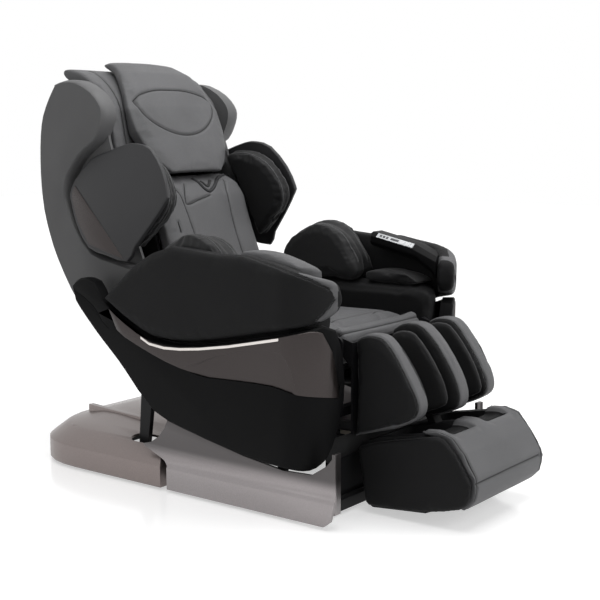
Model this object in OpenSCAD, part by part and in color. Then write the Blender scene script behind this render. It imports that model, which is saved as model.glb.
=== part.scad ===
// Reclining massage armchair: floor base, gliding chassis, tilting seat body,
// reclining back with a kneading carriage, lifting calf unit and foot unit.
// Millimetres. X across (the sitter's left is +X), the chair faces -Y, Z up from the floor.

/* [Base] */
// Half of the chair's width over the side panels
half_width = 410; // [400:1:430]
// Distance from the centre to the rear end of the base
rear_reach = 765; // [745:1:785]
// Where the fixed rear cover starts behind the gliding skirts
cover_front_y = 157; // [150:1:170]
// Height of the rubber feet
foot_height = 10; // [8:1:14]
// Height of the floor frame's tubes
frame_tube_h = 30; // [24:1:34]
// Width of the floor frame's tubes
frame_tube_w = 40; // [30:1:44]
// Distance of the floor rails from the centre plane
rail_x = 325; // [318:1:332]
// Height of the polished glide rails
rail_h = 12; // [8:1:14]
// Height of the sliding shoes
shoe_h = 8; // [6:1:10]
// Radius of the transport wheels
wheel_r = 25; // [22:1:28]
// Width of one transport wheel
wheel_w = 24; // [18:1:30]

/* [Chassis] */
// Height of the chassis tubes
chassis_tube_h = 30; // [24:1:34]
// Thickness of the risers that carry the tilt pins
riser_t = 16; // [12:1:18]
// Radius of the tilt pins
tilt_pin_r = 10; // [8:0.5:12]
// Gap from the floor to the skirts
skirt_gap = 8; // [6:1:12]
// Height of the skirts' flat lower band
skirt_band_h = 64; // [56:1:70]
// Depth of the cove above the band
skirt_cove = 12; // [8:1:14]

/* [Seat] */
// Half of the seat cushion's width
seat_half = 245; // [238:1:248]
// Thickness of the seat cushion
seat_thickness = 115; // [105:1:118]
// Thickness of the seat frame's side plates
plate_t = 10; // [8:1:12]
// Depth of the black side panels
panel_depth = 38; // [32:1:44]
// Wall of the moulded panels
panel_wall = 5; // [4:0.5:7]
// Thickness of the metallic side trim
trim_t = 12; // [10:0.5:14]
// How far the trim stands proud of the side panels
trim_proud = 2; // [1:0.5:3]
// Depth of the recess in the trim
trim_recess = 6; // [4:0.5:7]
// Thickness of the outer arm pads
arm_pad_t = 56; // [50:1:57]
// Width of the open hand channel in each arm
hand_channel_w = 70; // [60:1:75]

/* [Back] */
// Lean of the lower back from the vertical
back_lean = 21; // [18:0.5:23]
// Half of the back cushion's width
back_half = 214; // [205:1:216]
// Thickness of the back cushion
back_thickness = 60; // [52:1:64]
// Radius of the massage rollers
roller_r = 32; // [28:1:34]
// Width of one massage roller
roller_w = 34; // [28:1:38]
// Radius of the kneading shaft
knead_shaft_r = 8; // [6:0.5:10]
// Radius of the recline pins
recline_pin_r = 8; // [6:0.5:10]
// Thickness of the shoulder wing shells
wing_t = 16; // [12:1:18]
// Outward lean of the shoulder wings
wing_lean = 10; // [6:0.5:12]

/* [Leg] */
// Half of the calf unit's width
calf_half = 220; // [214:1:222]
// Width of the outer calf pads
calf_pad_w = 66; // [58:1:70]
// Half of the middle divider's width
divider_half = 34; // [30:1:38]
// Thickness of the slack calf airbags
calf_bag_t = 12; // [10:1:16]
// Radius of the legrest pins
leg_pin_r = 8; // [6:0.5:9]
// Distance from the centre to the foot unit's front
front_reach = 765; // [755:1:775]
// Half of the foot unit's width
foot_half = 215; // [210:1:222]
// Width of one foot well
well_w = 128; // [115:1:135]
// Height of the foot wells' floor
well_floor_z = 92; // [86:1:100]

/* [Nose] */
// Front end of the side panels, along Y
panel_front_y = -501; // [-502:1:-500]
// Place along Y where the sides start to turn in
nose_start = -290; // [-292:1:-288]
// How much less each side's turn reaches forwards than inwards
nose_flat = 45; // [44:0.5:46]
// Angle through which each side turns in at its front
nose_turn = 81; // [80:0.5:82]
// Drop of the turned front end, for each mm that it lies below the level line
nose_dip = 0.052; // [0.05:0.001:0.054]
// Height of that level line, where nothing drops
nose_level = 1060; // [1050:5:1070]
// Gap between an arm's turned outer pad and the front of what lies inside it
nose_gap = 4.5; // [4:0.5:5]

/* [Clearances] */
// Radial clearance of pins and shafts
pin_gap = 0.08; // [0.05:0.01:0.1]
// Gap between a soft piece and what it moves past
soft_gap = 0.5; // [0.4:0.1:2]
// Gap between panels that meet
panel_gap = 3; // [2:0.5:4]

/* [Hidden] */
$fn = 48;
leather = "#3a3a3c";
black = "#19191b";
bronze = "#5d5353";
steel = "silver";
cloth_grey = "#4a4a4d";

// Main stations, as [y, z] in the side view
tilt_pivot = [285, 290];
recline_pivot = [235, 400];
leg_pivot = [-345, 465];
back_foot = [265, 500];
recline_end = [255, 330];
lift_end = [-370, 330];
actuator_root = [-60, 300];

// Heights stacked up from the floor
tube_top = foot_height + frame_tube_h;
rail_top = tube_top + rail_h;
chassis_z = rail_top + shoe_h;
chassis_top = chassis_z + chassis_tube_h;
frame_front_y = -392;
frame_rear_y = rear_reach - 125;
rail_w = frame_tube_w - 12;
slide_gap = 0.3;

// Side layers, as distances from the centre plane
panel_inner = half_width - panel_depth;
trim_floor = half_width + trim_proud - trim_t;
skirt_wall = 12;
skirt_inner = half_width - skirt_cove - 10;
arm_outer = half_width + 5;
arm_inner = arm_outer - arm_pad_t;
channel_inner = arm_inner - soft_gap - hand_channel_w;
inner_pad_x = seat_half + 5;
nose_x = inner_pad_x;
riser_x = 308;
frame_plate_x = riser_x - 4 - plate_t;
pan_z = 378;
pan_t = 6;
cushion_z = pan_z + pan_t + soft_gap;

// ---- outline helpers -------------------------------------------------
// One point of a smooth curve from b to c
function spline_point(a, b, c, d, t) =
    0.5 * (2 * b + (c - a) * t + (2 * a - 5 * b + 4 * c - d) * t * t
           + (3 * b - a - 3 * c + d) * t * t * t);
// Closed smooth curve through the points, n steps between each two
function smooth_loop(p, n = 2) = let (m = len(p)) [
    for (i = [0:m - 1]) for (k = [0:n - 1])
        spline_point(p[(i + m - 1) % m], p[i], p[(i + 1) % m], p[(i + 2) % m], k / n)
];
// Loop moved inwards by d; the loop runs anticlockwise
function inset(p, d) = let (m = len(p)) [
    for (i = [0:m - 1])
        let (t = p[(i + 1) % m] - p[(i + m - 1) % m])
            p[i] + d * [-t[1], t[0]] / norm(t)
];
// Open smooth curve through the points
function smooth_run(p, n = 2) = let (m = len(p)) concat([
    for (i = [0:m - 2]) for (k = [0:n - 1])
        spline_point(p[max(i - 1, 0)], p[i], p[i + 1], p[min(i + 2, m - 1)], k / n)
], [p[m - 1]]);
// Outline of a flat link with a round end at each of two points
function link_outline(p, q, r1, r2, n = 8) = let (
    d = q - p,
    a = atan2(d[1], d[0]),
    b = acos((r1 - r2) / norm(d))
) concat(
    [for (i = [0:n]) let (t = a + b + (360 - 2 * b) * i / n) p + r1 * [cos(t), sin(t)]],
    [for (i = [0:n]) let (t = a - b + 2 * b * i / n) q + r2 * [cos(t), sin(t)]]);
// Points spread evenly along a line of points
function spread(p, n) = [for (i = [0:n - 1]) let (
    t = i * (len(p) - 1) / (n - 1),
    k = min(floor(t), len(p) - 2)
) p[k] + (p[k + 1] - p[k]) * (t - k)];
function backwards(p) = [for (i = [len(p) - 1:-1:0]) p[i]];
// Point between a and b
function between(a, b, t) = a + (b - a) * t;
// Signed power, for rounded-square sections
function soft_power(v, e) = sign(v) * pow(abs(v), e);

// Area of a ring of points as a vector square to it
function ring_area(r, k = 0) = k == len(r) ? [0, 0, 0] : cross(r[k], r[(k + 1) % len(r)]) + ring_area(r, k + 1);
// End of a loft, filled like the rungs of a ladder between its two long sides: the shorter rung of the
// two that don't fold back over the area already filled
function ladder(ring, up, i, j) = j - i < 2 ? [] : let (
    a = ring[i], b = ring[i + 1], c = ring[j - 1], d = ring[j],
    low_ok = cross(b - a, d - a) * up > 0,
    high_ok = cross(c - a, d - a) * up > 0
) j - i == 2 || (low_ok && (!high_ok || norm(a - c) > norm(b - d)))
    ? concat([[i, i + 1, j]], ladder(ring, up, i + 1, j))
    : concat([[i, j - 1, j]], ladder(ring, up, i, j - 1));
function filled(ring) = ladder(ring, ring_area(ring), 0, len(ring) - 1);
// Skin over rings that all have the same number of points
module skin(rings, bent = false) {
    m = len(rings[0]);
    n = len(rings);
    p = [for (r = rings) each r];
    // each four-sided patch is split along its shorter diagonal
    sides = [for (k = [0:n - 2]) for (i = [0:m - 1])
        let (a = k * m + i, b = k * m + (i + 1) % m)
        each (norm(p[a] - p[b + m]) <= norm(p[b] - p[a + m])
              ? [[a, a + m, b + m], [a, b + m, b]] : [[a, a + m, b], [a + m, b + m, b]])];
    // a bent outline, which its first point can't see all of, has its ends filled piece by piece
    low_end = bent ? filled(rings[0]) : [[for (i = [0:m - 1]) i]];
    high_end = bent ? filled(rings[n - 1]) : [[for (i = [0:m - 1]) i]];
    caps = concat(low_end, [for (f = high_end) [for (i = backwards(f)) (n - 1) * m + i]]);
    polyhedron(p, concat(sides, caps));
}
// Loft of a side outline across X; stations are [x, inset, shift along Y]
module loft_x(outline, stations, bent = false) {
    skin([for (s = stations)
        let (dy = len(s) > 2 ? s[2] : 0)
        [for (p = inset(outline, s[1])) [s[0], p[0] + dy, p[1]]]], bent);
}
// Loft through different outlines with matching points; rings are [x, outline]
module loft_rings(rings, bent = false) {
    skin([for (r = rings) [for (p = r[1]) [r[0], p[0], p[1]]]], bent);
}
// Loft of a plan outline up Z; stations are [z, scale about the centre]
module loft_z(outline, centre, stations) {
    skin([for (s = stations)
        [for (p = outline) [centre[0] + (p[0] - centre[0]) * s[1],
                            centre[1] + (p[1] - centre[1]) * s[1], s[0]]]]);
}
// Soft pad across X with rolled edges and a slight crown on both faces
module soft_slab(outline, x0, x1, roll = 8, bent = false) {
    loft_x(outline, [
        [x0, roll * 1.6], [x0 + roll * 0.25, roll * 0.7], [x0 + roll, 0],
        [x1 - roll, 0], [x1 - roll * 0.25, roll * 0.7], [x1, roll * 1.6]
    ], bent);
}
// Flat side outline drawn across X
module plate_x(outline, x0, x1) {
    translate([x0, 0, 0]) rotate([90, 0, 90]) linear_extrude(x1 - x0) polygon(outline);
}
// Cylinder along X at a side-view point
module rod_x(p, r, x0, x1) {
    translate([x0, p[0], p[1]]) rotate([0, 90, 0]) cylinder(h = x1 - x0, r = r);
}
// Box between two corners
module block(a, b) {
    translate(a) cube(b - a);
}
// Flat link across X
module link(p, q, r1, r2, x0, x1) {
    plate_x(link_outline(p, q, r1, r2), x0, x1);
}
// Moulded cover with stepped edges; steps are [x, inset]
module terraces(outline, x0, steps) {
    for (i = [0:len(steps) - 1])
        plate_x(inset(outline, steps[i][1]), i == 0 ? x0 : steps[i - 1][0], steps[i][0]);
}
module both_sides() {
    children();
    mirror([1, 0, 0]) children();
}
// The sitter's left is +X; s is 1 for the left and -1 for the right
module on_side(s) {
    mirror([s < 0 ? 1 : 0, 0, 0]) children();
}
// Section across a long cushion: crowned, with drawn-in sides and two sewn channels
channel_at = 0.44;
pad_cols = [-1, -0.94, -0.78, -0.5, -channel_at, -0.38, -0.15,
            0.15, 0.38, channel_at, 0.5, 0.78, 0.94, 1];
function crown(u) = sqrt(max(0, 1 - pow(abs(u), 3)));
function pad_face(u, edge, groove) =
    (edge + (1 - edge) * crown(u)) - (abs(abs(u) - channel_at) < 0.01 ? groove : 0);
// Ring at a station [y, z, half width, half thickness, direction of the crowned face]
function pad_ring(s, groove) = let (n = [cos(s[4]), sin(s[4])]) concat(
    [for (u = pad_cols) let (h = s[3] * pad_face(u, 0.45, groove))
        [u * s[2], s[0] + n[0] * h, s[1] + n[1] * h]],
    [for (i = [len(pad_cols) - 1:-1:0]) let (u = pad_cols[i], h = -s[3] * (abs(u) > 0.99 ? 0.8 : 1))
        [u * s[2], s[0] + n[0] * h, s[1] + n[1] * h]]
);
module long_cushion(stations, groove = 0.12) {
    skin([for (s = stations) backwards(pad_ring(s, groove))]);
}

// ---- base -------------------------------------------------------------
cover_centre = [0, 470];
cover_bend_y = rear_reach - 245;
cover_plan = concat(
    [[-half_width, cover_front_y], [half_width, cover_front_y]],
    [for (a = [0:12:180]) [half_width * soft_power(cos(a), 0.45),
                           cover_bend_y + (rear_reach - cover_bend_y) * pow(sin(a), 0.9)]]
);
notch_half = frame_tube_w / 2 + 9;
notch_end_y = 345;
wheel_y = rear_reach - 75;
wheel_z = wheel_r + 3;
wheel_x = 250;
axle_r = 6;

module base_frame() color(black) difference() {
    union() {
        both_sides() {
            block([rail_x - frame_tube_w / 2, frame_front_y, foot_height],
                  [rail_x + frame_tube_w / 2, frame_rear_y, tube_top]);
            block([rail_x - rail_w / 2, frame_front_y, tube_top],
                  [rail_x + rail_w / 2, notch_end_y - 10, rail_top]);
            block([wheel_x + wheel_w / 2 + 4, frame_rear_y - 20, foot_height],
                  [wheel_x + wheel_w / 2 + 12, wheel_y + 14, tube_top + 4]);
        }
        for (y = [frame_front_y, 110, frame_rear_y - 40])
            block([-rail_x, y, foot_height], [rail_x, y + 40, tube_top]);
    }
    rod_x([wheel_y, wheel_z], axle_r + pin_gap, -half_width, half_width);
}
module base_feet() color("#222222") both_sides()
    for (y = [frame_front_y + 35, 120, frame_rear_y - 20])
        translate([rail_x, y, 0]) union() {
            cylinder(h = 3, r1 = 15, r2 = 18);
            translate([0, 0, 3]) cylinder(h = foot_height - 3, r = 18);
        }
module rear_base_cover() color(bronze) difference() {
    union() {
        difference() {
            loft_z(cover_plan, cover_centre, [
                [skirt_gap, 0.992], [skirt_gap + 6, 1], [72, 1], [78, 0.99], [112, 0.87],
                [118, 0.84], [126, 0.70], [140, 0.55], [148, 0.40]]);
            loft_z(cover_plan, cover_centre, [
                [skirt_gap - 1, 0.975], [70, 0.975], [75, 0.967], [107, 0.85],
                [112, 0.82], [120, 0.68], [134, 0.53], [142, 0.38]]);
        }
        both_sides() {
            // raised rails that guide the sliding seat's struts
            translate([205, 530, 118]) rotate([0, 0, 7]) block([-9, -150, 0], [9, 150, 29]);
            // bosses that stand on the floor frame
            for (y = [430, 600]) translate([rail_x, y, tube_top]) cylinder(h = 77, r = 12);
        }
    }
    both_sides() {
        block([rail_x - notch_half, cover_front_y - 10, 0], [rail_x + notch_half, notch_end_y - notch_half, 200]);
        translate([rail_x, notch_end_y - notch_half, 0]) cylinder(h = 200, r = notch_half);
    }
}
module transport_wheels() color("#2b2b2b") union() {
    rod_x([wheel_y, wheel_z], axle_r, -wheel_x - wheel_w / 2 - 14, wheel_x + wheel_w / 2 + 14);
    both_sides() {
        rod_x([wheel_y, wheel_z], wheel_r, wheel_x - wheel_w / 2, wheel_x + wheel_w / 2);
        rod_x([wheel_y, wheel_z], 12, wheel_x - wheel_w / 2 - 4, wheel_x + wheel_w / 2 + 2);
    }
}

// ---- gliding chassis ---------------------------------------------------
chassis_front_y = -400;
kick_y = chassis_front_y + 34;
chassis_rear_y = notch_end_y - 20;
chassis_half_w = 15;
riser_foot_y = chassis_rear_y - 17;

module chassis_frame() color(black) union() {
    both_sides() {
        block([rail_x - chassis_half_w, chassis_front_y, chassis_z],
              [rail_x + chassis_half_w, chassis_rear_y, chassis_top]);
        link(tilt_pivot, [riser_foot_y, chassis_z + 17], 24, 17, riser_x, riser_x + riser_t);
        rod_x(tilt_pivot, tilt_pin_r, frame_plate_x - 4, riser_x + 2);
        for (y = [-360, -110, 90])
            block([rail_x, y, chassis_z], [skirt_inner - slide_gap, y + 30, chassis_top]);
        // posts that the lowered seat rests on
        block([rail_x - 10, seat_arm_y[0] + 6, chassis_top], [rail_x + 10, seat_arm_y[0] + 30, seat_arm_z[0] - slide_gap]);
    }
    for (y = [kick_y, 60])
        block([-rail_x, y, chassis_z], [rail_x, y + 30, chassis_top]);
}
module glide_shoes() color("#d8d4c8") both_sides() for (y = [-235, -40, 250])
    translate([rail_x, y, rail_top]) difference() {
        block([-rail_w / 2 - 6, 0, -5], [rail_w / 2 + 6, 60, shoe_h]);
        block([-rail_w / 2 - slide_gap, -1, -6], [rail_w / 2 + slide_gap, 61, slide_gap]);
    }
// Lower edge of the side panel, front to rear
panel_low = [[-455, 215], [-433, 183], [-383, 150], [-288, 146], [-148, 158], [-10, 184],
             [137, 216], [208, 255]];
skirt_top = [for (i = [0:6]) panel_low[i] - [i == 0 ? 4 : 0, panel_gap + (i < 4 ? 8 : 2)]];
band_top = skirt_gap + skirt_band_h;
skirt_side = concat(
    [[-431, skirt_gap], [132, skirt_gap], [132, band_top + 4], [150, band_top + 18], [230, 122],
     [234, 128], [205, 136], [172, 158], [150, 185]],
    backwards(skirt_top),
    [[-461, 60], [-452, 25]]
);
skirt_section = [
    [half_width - skirt_wall, skirt_gap], [half_width, skirt_gap], [half_width, band_top],
    for (a = [15:15:90]) [half_width - skirt_cove * sin(a), band_top + 4 + 26 * (1 - cos(a))],
    [half_width - skirt_cove, 300], [skirt_inner, 300], [skirt_inner, chassis_z - 2],
    [half_width - skirt_wall, chassis_z - 12]
];
module skirt(s) color(bronze) on_side(s) union() {
    intersection() {
        translate([0, 300, 0]) rotate([90, 0, 0]) linear_extrude(800) polygon(skirt_section);
        plate_x(skirt_side, panel_inner - 20, half_width + 1);
    }
    // front return of the skirt
    plate_x([[-457, 40], [-447, 40], [-447, 205], [-457, 205]],
            half_width - 44, half_width - skirt_cove - 4);
}
module front_kick_panel() color(black)
    block([-rail_x + chassis_half_w, kick_y - 6, tube_top + 4], [rail_x - chassis_half_w, kick_y, 150]);

// ---- seat body ---------------------------------------------------------
seat_rear_y = 195;
seat_front_y = -300;
apron_front_y = -352;
ear_t = 8;
leg_ear_x = calf_half - 8;
seat_ear_x = leg_ear_x + ear_t;
recline_ear_x = 243;
back_ear_gap = 1;
cross_front_y = -345;
cross_mid_y = -75;
cross_rear_y = 150;
cross_low_z = 255;
seat_arm_y = [-250, -20, 110];
seat_arm_z = [285, 320];
actuator_x = 205;

module seat_frame() color("#3c3c40") difference() {
    union() {
        both_sides() {
            plate_x([[cross_front_y, cross_low_z], [120, 262], [260, 258], [318, 270], [312, 322],
                     [cross_rear_y + 40, pan_z], [cross_front_y + 10, pan_z]],
                    frame_plate_x, frame_plate_x + plate_t);
            // ears for the back's recline pins
            link(recline_pivot, [cross_rear_y + 15, pan_z - 16], 22, 15,
                 recline_ear_x + ear_t + back_ear_gap, recline_ear_x + 2 * ear_t + back_ear_gap);
            // ears for the legrest pins
            link(leg_pivot, [cross_front_y + 12, cross_low_z + 12], 17, 12, seat_ear_x, seat_ear_x + ear_t);
            // arms that carry the side panels
            for (y = seat_arm_y)
                block([frame_plate_x, y, seat_arm_z[0]], [panel_inner - soft_gap, y + 36, seat_arm_z[1]]);
            plate_x(concat([[210, seat_arm_z[0]], [nose_start + 4, seat_arm_z[0]]],
                           [for (y = [nose_start + 4, -220, -110, -5, 90, 188, 210]) [y, lookup(y, arm_low) - panel_gap]]),
                    arm_inner, panel_inner - soft_gap);
        }
        block([-frame_plate_x, cross_front_y, cross_low_z], [frame_plate_x, cross_front_y + 25, cross_low_z + 25]);
        block([-frame_plate_x, cross_mid_y, cross_low_z], [frame_plate_x, cross_mid_y + 30, cross_low_z + 25]);
        block([-frame_plate_x, cross_rear_y, pan_z - 33], [frame_plate_x, cross_rear_y + 30, pan_z]);
        block([-frame_plate_x - plate_t, seat_front_y, pan_z], [frame_plate_x + plate_t, seat_rear_y - 10, pan_z + pan_t]);
        // clevis ears that hold the two actuators
        for (x = [0, actuator_x], d = [-1, 1])
            link(actuator_root, [cross_mid_y + 15, cross_low_z + 12], 12, 10, x + d * 24 - 3, x + d * 24 + 3);
    }
    both_sides() {
        rod_x(tilt_pivot, tilt_pin_r + pin_gap, frame_plate_x - 5, riser_x);
        rod_x(recline_pivot, recline_pin_r + pin_gap, recline_ear_x, recline_ear_x + 3 * ear_t);
        rod_x(leg_pivot, leg_pin_r + pin_gap, leg_ear_x, seat_ear_x + 2 * ear_t);
    }
    for (x = [0, actuator_x])
        rod_x(actuator_root, 6 + pin_gap, x - 30, x + 30);
}
seat_h = seat_thickness / 2;
module seat_cushion() color(leather) long_cushion([
    for (s = [[seat_rear_y, 0.90, 0.62], [seat_rear_y - 22, 0.98, 0.92], [60, 1, 0.96], [-100, 1, 0.98],
              [-230, 1, 1], [seat_front_y + 22, 0.99, 0.97], [seat_front_y, 0.95, 0.86]])
        [s[0], cushion_z + seat_h * s[2], seat_half * s[1], seat_h * s[2], 90]
]);
module seat_apron() color(leather) soft_slab(smooth_loop([
    [seat_front_y - 12, cushion_z + 8], [seat_front_y - soft_gap - 1, cushion_z + 40],
    [seat_front_y - soft_gap - 1, cushion_z + 90], [seat_front_y - 12, cushion_z + 118],
    [-335, cushion_z + 116], [apron_front_y + 3, cushion_z + 95], [apron_front_y, cushion_z + 55],
    [-340, cushion_z + 15]]), -leg_ear_x + 7, leg_ear_x - 7, 9);

// Line along which the arm pad meets the panel below, front to rear
arm_low = smooth_run([[-496, 606], [-482, 580], [-430, 549], [-355, 524], [-220, 494], [-110, 470],
                      [-5, 451], [90, 441], [188, 446], [288, 488], [385, 545]], 3);
arm_high = smooth_run([[-496, 636], [-491, 653], [-480, 665], [-440, 672], [-320, 689], [-153, 717], [-64, 715],
                       [28, 722], [111, 727], [185, 704], [262, 660], [325, 606], [385, 549]], 3);
// Lower edge of the side panel, front to rear, and its upper edge
panel_under = smooth_run(concat([[-501, 402], [-497, 350], [-478, 279]], panel_low,
    [[312, 358], [394, 428], [461, 491], [500, 535], [507, 572]]), 3);
panel_over = concat([[-501, 408], [-496, 462], [-486, 505], [-470, 538]],
    [for (p = arm_low) if (p[0] > -440) p - [0, panel_gap + 1]],
    [[400, 570], [420, 594], [450, 602], [474, 602], [495, 592], [507, 577]]);
// Lower edge of the bronze trim, its upper edge, and the step of its recess
trim_low = smooth_run([[-481, 362], [-355, 352], [-254, 365], [-132, 364], [-30, 360], [4, 363], [122, 386],
                       [242, 424], [322, 460], [352, 518]], 3);
trim_high = concat([[-481, 366], [-473, 420], [-458, 480], [-428, 526], [-400, 529]],
    [for (p = arm_low) if (p[0] > -398 && p[0] < 350) p - [0, panel_gap + 5]], [[352, 518]]);
function trim_band(y) = let (lo = lookup(y, trim_low))
    [lo, max(lo + 1.5, min(lookup(y, trim_high), lookup(y, panel_over) - 2.5))];
recess_high = [[-345, 353], [-336, 371], [-332, 410], [-320, 436], [-288, 458], [-229, 463], [-98, 436],
               [-15, 405], [30, 382], [50, 371]];

// The sides run straight, then round in towards the sitter's knees at the front
function side_turn(y) = max(0, nose_start - y) * nose_turn / (nose_start - panel_front_y);
function side_point(x, y, z) = let (a = side_turn(y)) a == 0 ? [x, y, z] :
    [nose_x + (x - nose_x) * cos(a), nose_start - (x - nose_x - nose_flat) * sin(a),
     z - nose_dip * pow(a / nose_turn, 1.85) * (nose_level - z)];
// Skin along a side piece; each station is [y, section of x and z]
module side_skin(stations) {
    skin([for (s = stations) [for (p = s[1]) side_point(p[0], s[0], p[1])]]);
}
side_stations = [-501, -498, -493, -486, -478, -470, -458, -444, -428, -410, -390, -370, -350, -330, -310,
                 -290, -254, -190, -132, -60, -30, 4, 70, 122, 180, 242, 290, 322, 352, 356, 385, 400, 420, 450,
                 474, 495, 507];
module side_shell(s) color(black) on_side(s) side_skin([for (y = backwards(side_stations))
    let (
        lo = lookup(y, panel_under),
        trimmed = y > -481 && y < 354,
        t = trimmed ? trim_band(y) : [1, 1] * between(lo, lookup(y, panel_over), 0.5),
        t0 = t[0] - panel_gap / 3,
        t1 = t[1] + panel_gap / 3,
        hi = max(lookup(y, panel_over), lo + 6, t1 + 1),
        e = min(5, (hi - lo) / 4),
        x1 = trimmed ? trim_floor - slide_gap : half_width - 1,
        w = min(9, (hi - lo) / 3),
        xf = trim_floor - panel_wall
    ) [y, [
        [panel_inner, lo], [half_width - 4, lo], [half_width, lo + e], [half_width, t0], [x1, t0],
        [x1, t1], [half_width, t1], [half_width, max(t1 + 0.2, hi - e)], [half_width - 4, hi], [panel_inner, hi],
        [panel_inner, hi - w], [xf, hi - w], [xf, lo + w], [panel_inner, lo + w]
    ]]]);
trim_stations = [for (y = side_stations) if (y > -479 && y < 354) y];
module side_trim(s) color(bronze) on_side(s) side_skin([for (y = backwards(trim_stations))
    let (
        lo = trim_band(y)[0],
        hi = trim_band(y)[1],
        face = half_width + trim_proud,
        r = y > -345 && y < 50 ? max(lookup(y, recess_high), lo + 0.3) : lo + 0.3,
        xr = r > lo + 1 ? face - trim_recess : face - 0.4,
        e = min(2, (hi - r) / 3)
    ) [y, [
        [trim_floor, lo], [xr, lo], [xr, r], [face - 0.3, r + 0.2], [face, r + 0.2 + e / 2], [face, hi - e],
        [face - 1.5, hi], [trim_floor, hi]
    ]]]);
rail_line = [[222, 452], [188, 437], [130, 431], [70, 434], [-5, 443], [-110, 461], [-220, 485],
             [-286, 499]];
module trim_rails() color("#b9b4ae") both_sides() plate_x(
    concat(rail_line, backwards([for (p = rail_line) p - [0, 8]])),
    half_width + trim_proud, arm_outer);

// Section of an arm pad: [x, how far its lower and upper edges draw in]
arm_roll = [[arm_inner, 10], [arm_inner + 4, 3], [arm_inner + 12, 0], [arm_outer - 18, 0],
            [arm_outer - 8, 3], [arm_outer - 2, 10], [arm_outer, 20]];
arm_stations = [-496, -492, -486, -476, -462, -444, -424, -404, -384, -362, -340, -315, -290, -230, -153, -64,
                28, 111, 185, 230, 262, 295, 325, 350, 370, 384];
module arm_pad(s) color(leather) on_side(s) side_skin([for (y = backwards(arm_stations))
    let (lo = lookup(y, arm_low), hi = max(lookup(y, arm_high), lo + 3), e = (hi - lo) * 0.4) [y, concat(
        [for (r = arm_roll) [r[0], lo + min(r[1], e)]],
        [for (r = backwards(arm_roll)) [r[0], hi - min(r[1], e)]])]]);
// How far forward a piece inside the arm may come at x
function arm_front(x) = nose_start - (arm_inner - nose_x - nose_flat - soft_gap)
    * sqrt(max(0, 1 - pow((x - nose_x) / (arm_inner - nose_x - soft_gap / 2), 2))) + nose_gap;
// Height at which the edge from p to q meets the line y
function crossing(p, q, y) = between(p[1], q[1], (y - p[0]) / (q[0] - p[0]));
// Outline with all that lies in front of y cut off square; the number of points stays the same
function cut_front(outline, y) = let (
    m = len(outline),
    off = [for (p = outline) p[0] < y],
    first = [for (i = [0:m - 1]) if (off[i] && !off[(i + m - 1) % m]) i]
) len(first) == 0 ? outline : let (
    s = first[0],
    n = len([for (o = off) if (o) o]),
    a = crossing(outline[(s + m - 1) % m], outline[s], y),
    b = crossing(outline[(s + n - 1) % m], outline[(s + n) % m], y)
) [for (i = [0:m - 1]) off[i] ? [y, between(a, b, ((i - s + m) % m + 0.5) / n)] : outline[i]];
function behind_nose(outline, x) = cut_front(outline, arm_front(x));
module inner_slab(outline, x0, x1, roll) {
    loft_rings([for (q = [[x0, roll * 1.2], [x0 + roll * 0.3, roll * 0.5], [x0 + roll, 0], [between(x0, x1, 0.5), 0],
                          [x1 - roll, 0], [x1 - roll * 0.3, roll * 0.5], [x1, roll * 1.2]])
        [q[0], behind_nose(inset(outline, q[1]), q[0])]]);
}
arm_deck_z = 568;
inner_pad_side = smooth_loop([
    [-372, 424], [-100, 424], [150, 424], [194, 436], [200, 500], [190, 552], [160, arm_deck_z - 2],
    [130, arm_deck_z], [-100, arm_deck_z], [-250, arm_deck_z], [-290, arm_deck_z - 1], [-362, 552],
    [-392, 525], [-402, 480], [-396, 440]]);
module arm_inner_pad(s) color(leather) on_side(s)
    inner_slab(inner_pad_side, inner_pad_x, arm_inner - soft_gap, 9);
hand_bag_side = smooth_loop([
    [-66, arm_deck_z + 6], [-50, arm_deck_z + 1], [40, arm_deck_z + 0.6], [125, arm_deck_z + 1],
    [200, 580], [222, 610], [222, 650], [190, 694], [120, 735], [65, 745], [0, 722], [-50, 660],
    [-84, 600]]);
hand_rest_side = backwards(smooth_loop([
    [-112, arm_deck_z + 1.8], [-230, arm_deck_z + 1.8], [-272, arm_deck_z + 2], [-296, 574],
    [-292, 586], [-250, 600], [-160, 606], [-106, 603], [-98, 586]]));
hand_bag_t = (arm_inner - inner_pad_x - 3 * soft_gap) / 2;
module hand_airbags(s) color(black) on_side(s) {
    for (i = [0, 1]) let (x0 = inner_pad_x + soft_gap + i * (hand_bag_t + soft_gap))
        soft_slab([for (p = hand_bag_side) p + [4 * i, p[1] > 620 ? 8 * i : 0]], x0, x0 + hand_bag_t, 7);
    // palm rest on the floor of the hand channel
    inner_slab(hand_rest_side, inner_pad_x + 14, arm_inner - soft_gap, 5);
}
module arm_cap_right() color(leather) on_side(-1) inner_slab(smooth_loop([
    [-398, 600], [-330, 626], [-200, 655], [-105, 666], [-94, 690], [-112, 716], [-187, 718],
    [-250, 707], [-330, 682], [-412, 648], [-424, 624]]), channel_inner, arm_inner - soft_gap, 8);
pod_side = [[-372, 557], [-352, 562], [-322, 608], [-264, 645], [-100, 680], [-93, 690], [-94, 716],
            [-106, 724], [-264, 692], [-376, 652], [-390, 636], [-392, 615], [-384, 575]];
pod_slope = 11.4;
module controller_pod() color("#2a2a2c") difference() {
    loft_rings([for (q = [[channel_inner, 15], [channel_inner + 15, 0], [arm_inner - 30, 0],
                          [arm_inner - 7, 0], [arm_inner - soft_gap - 1, 6]])
        [q[0], behind_nose(inset(pod_side, q[1]), q[0])]]);
    on_pod_face() for (y = key_places) block([-key_w / 2 - 0.3, y - key_l / 2 - 0.3, -4],
                                             [key_w / 2 + 0.3, y + key_l / 2 + 0.3, 6]);
}
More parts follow.
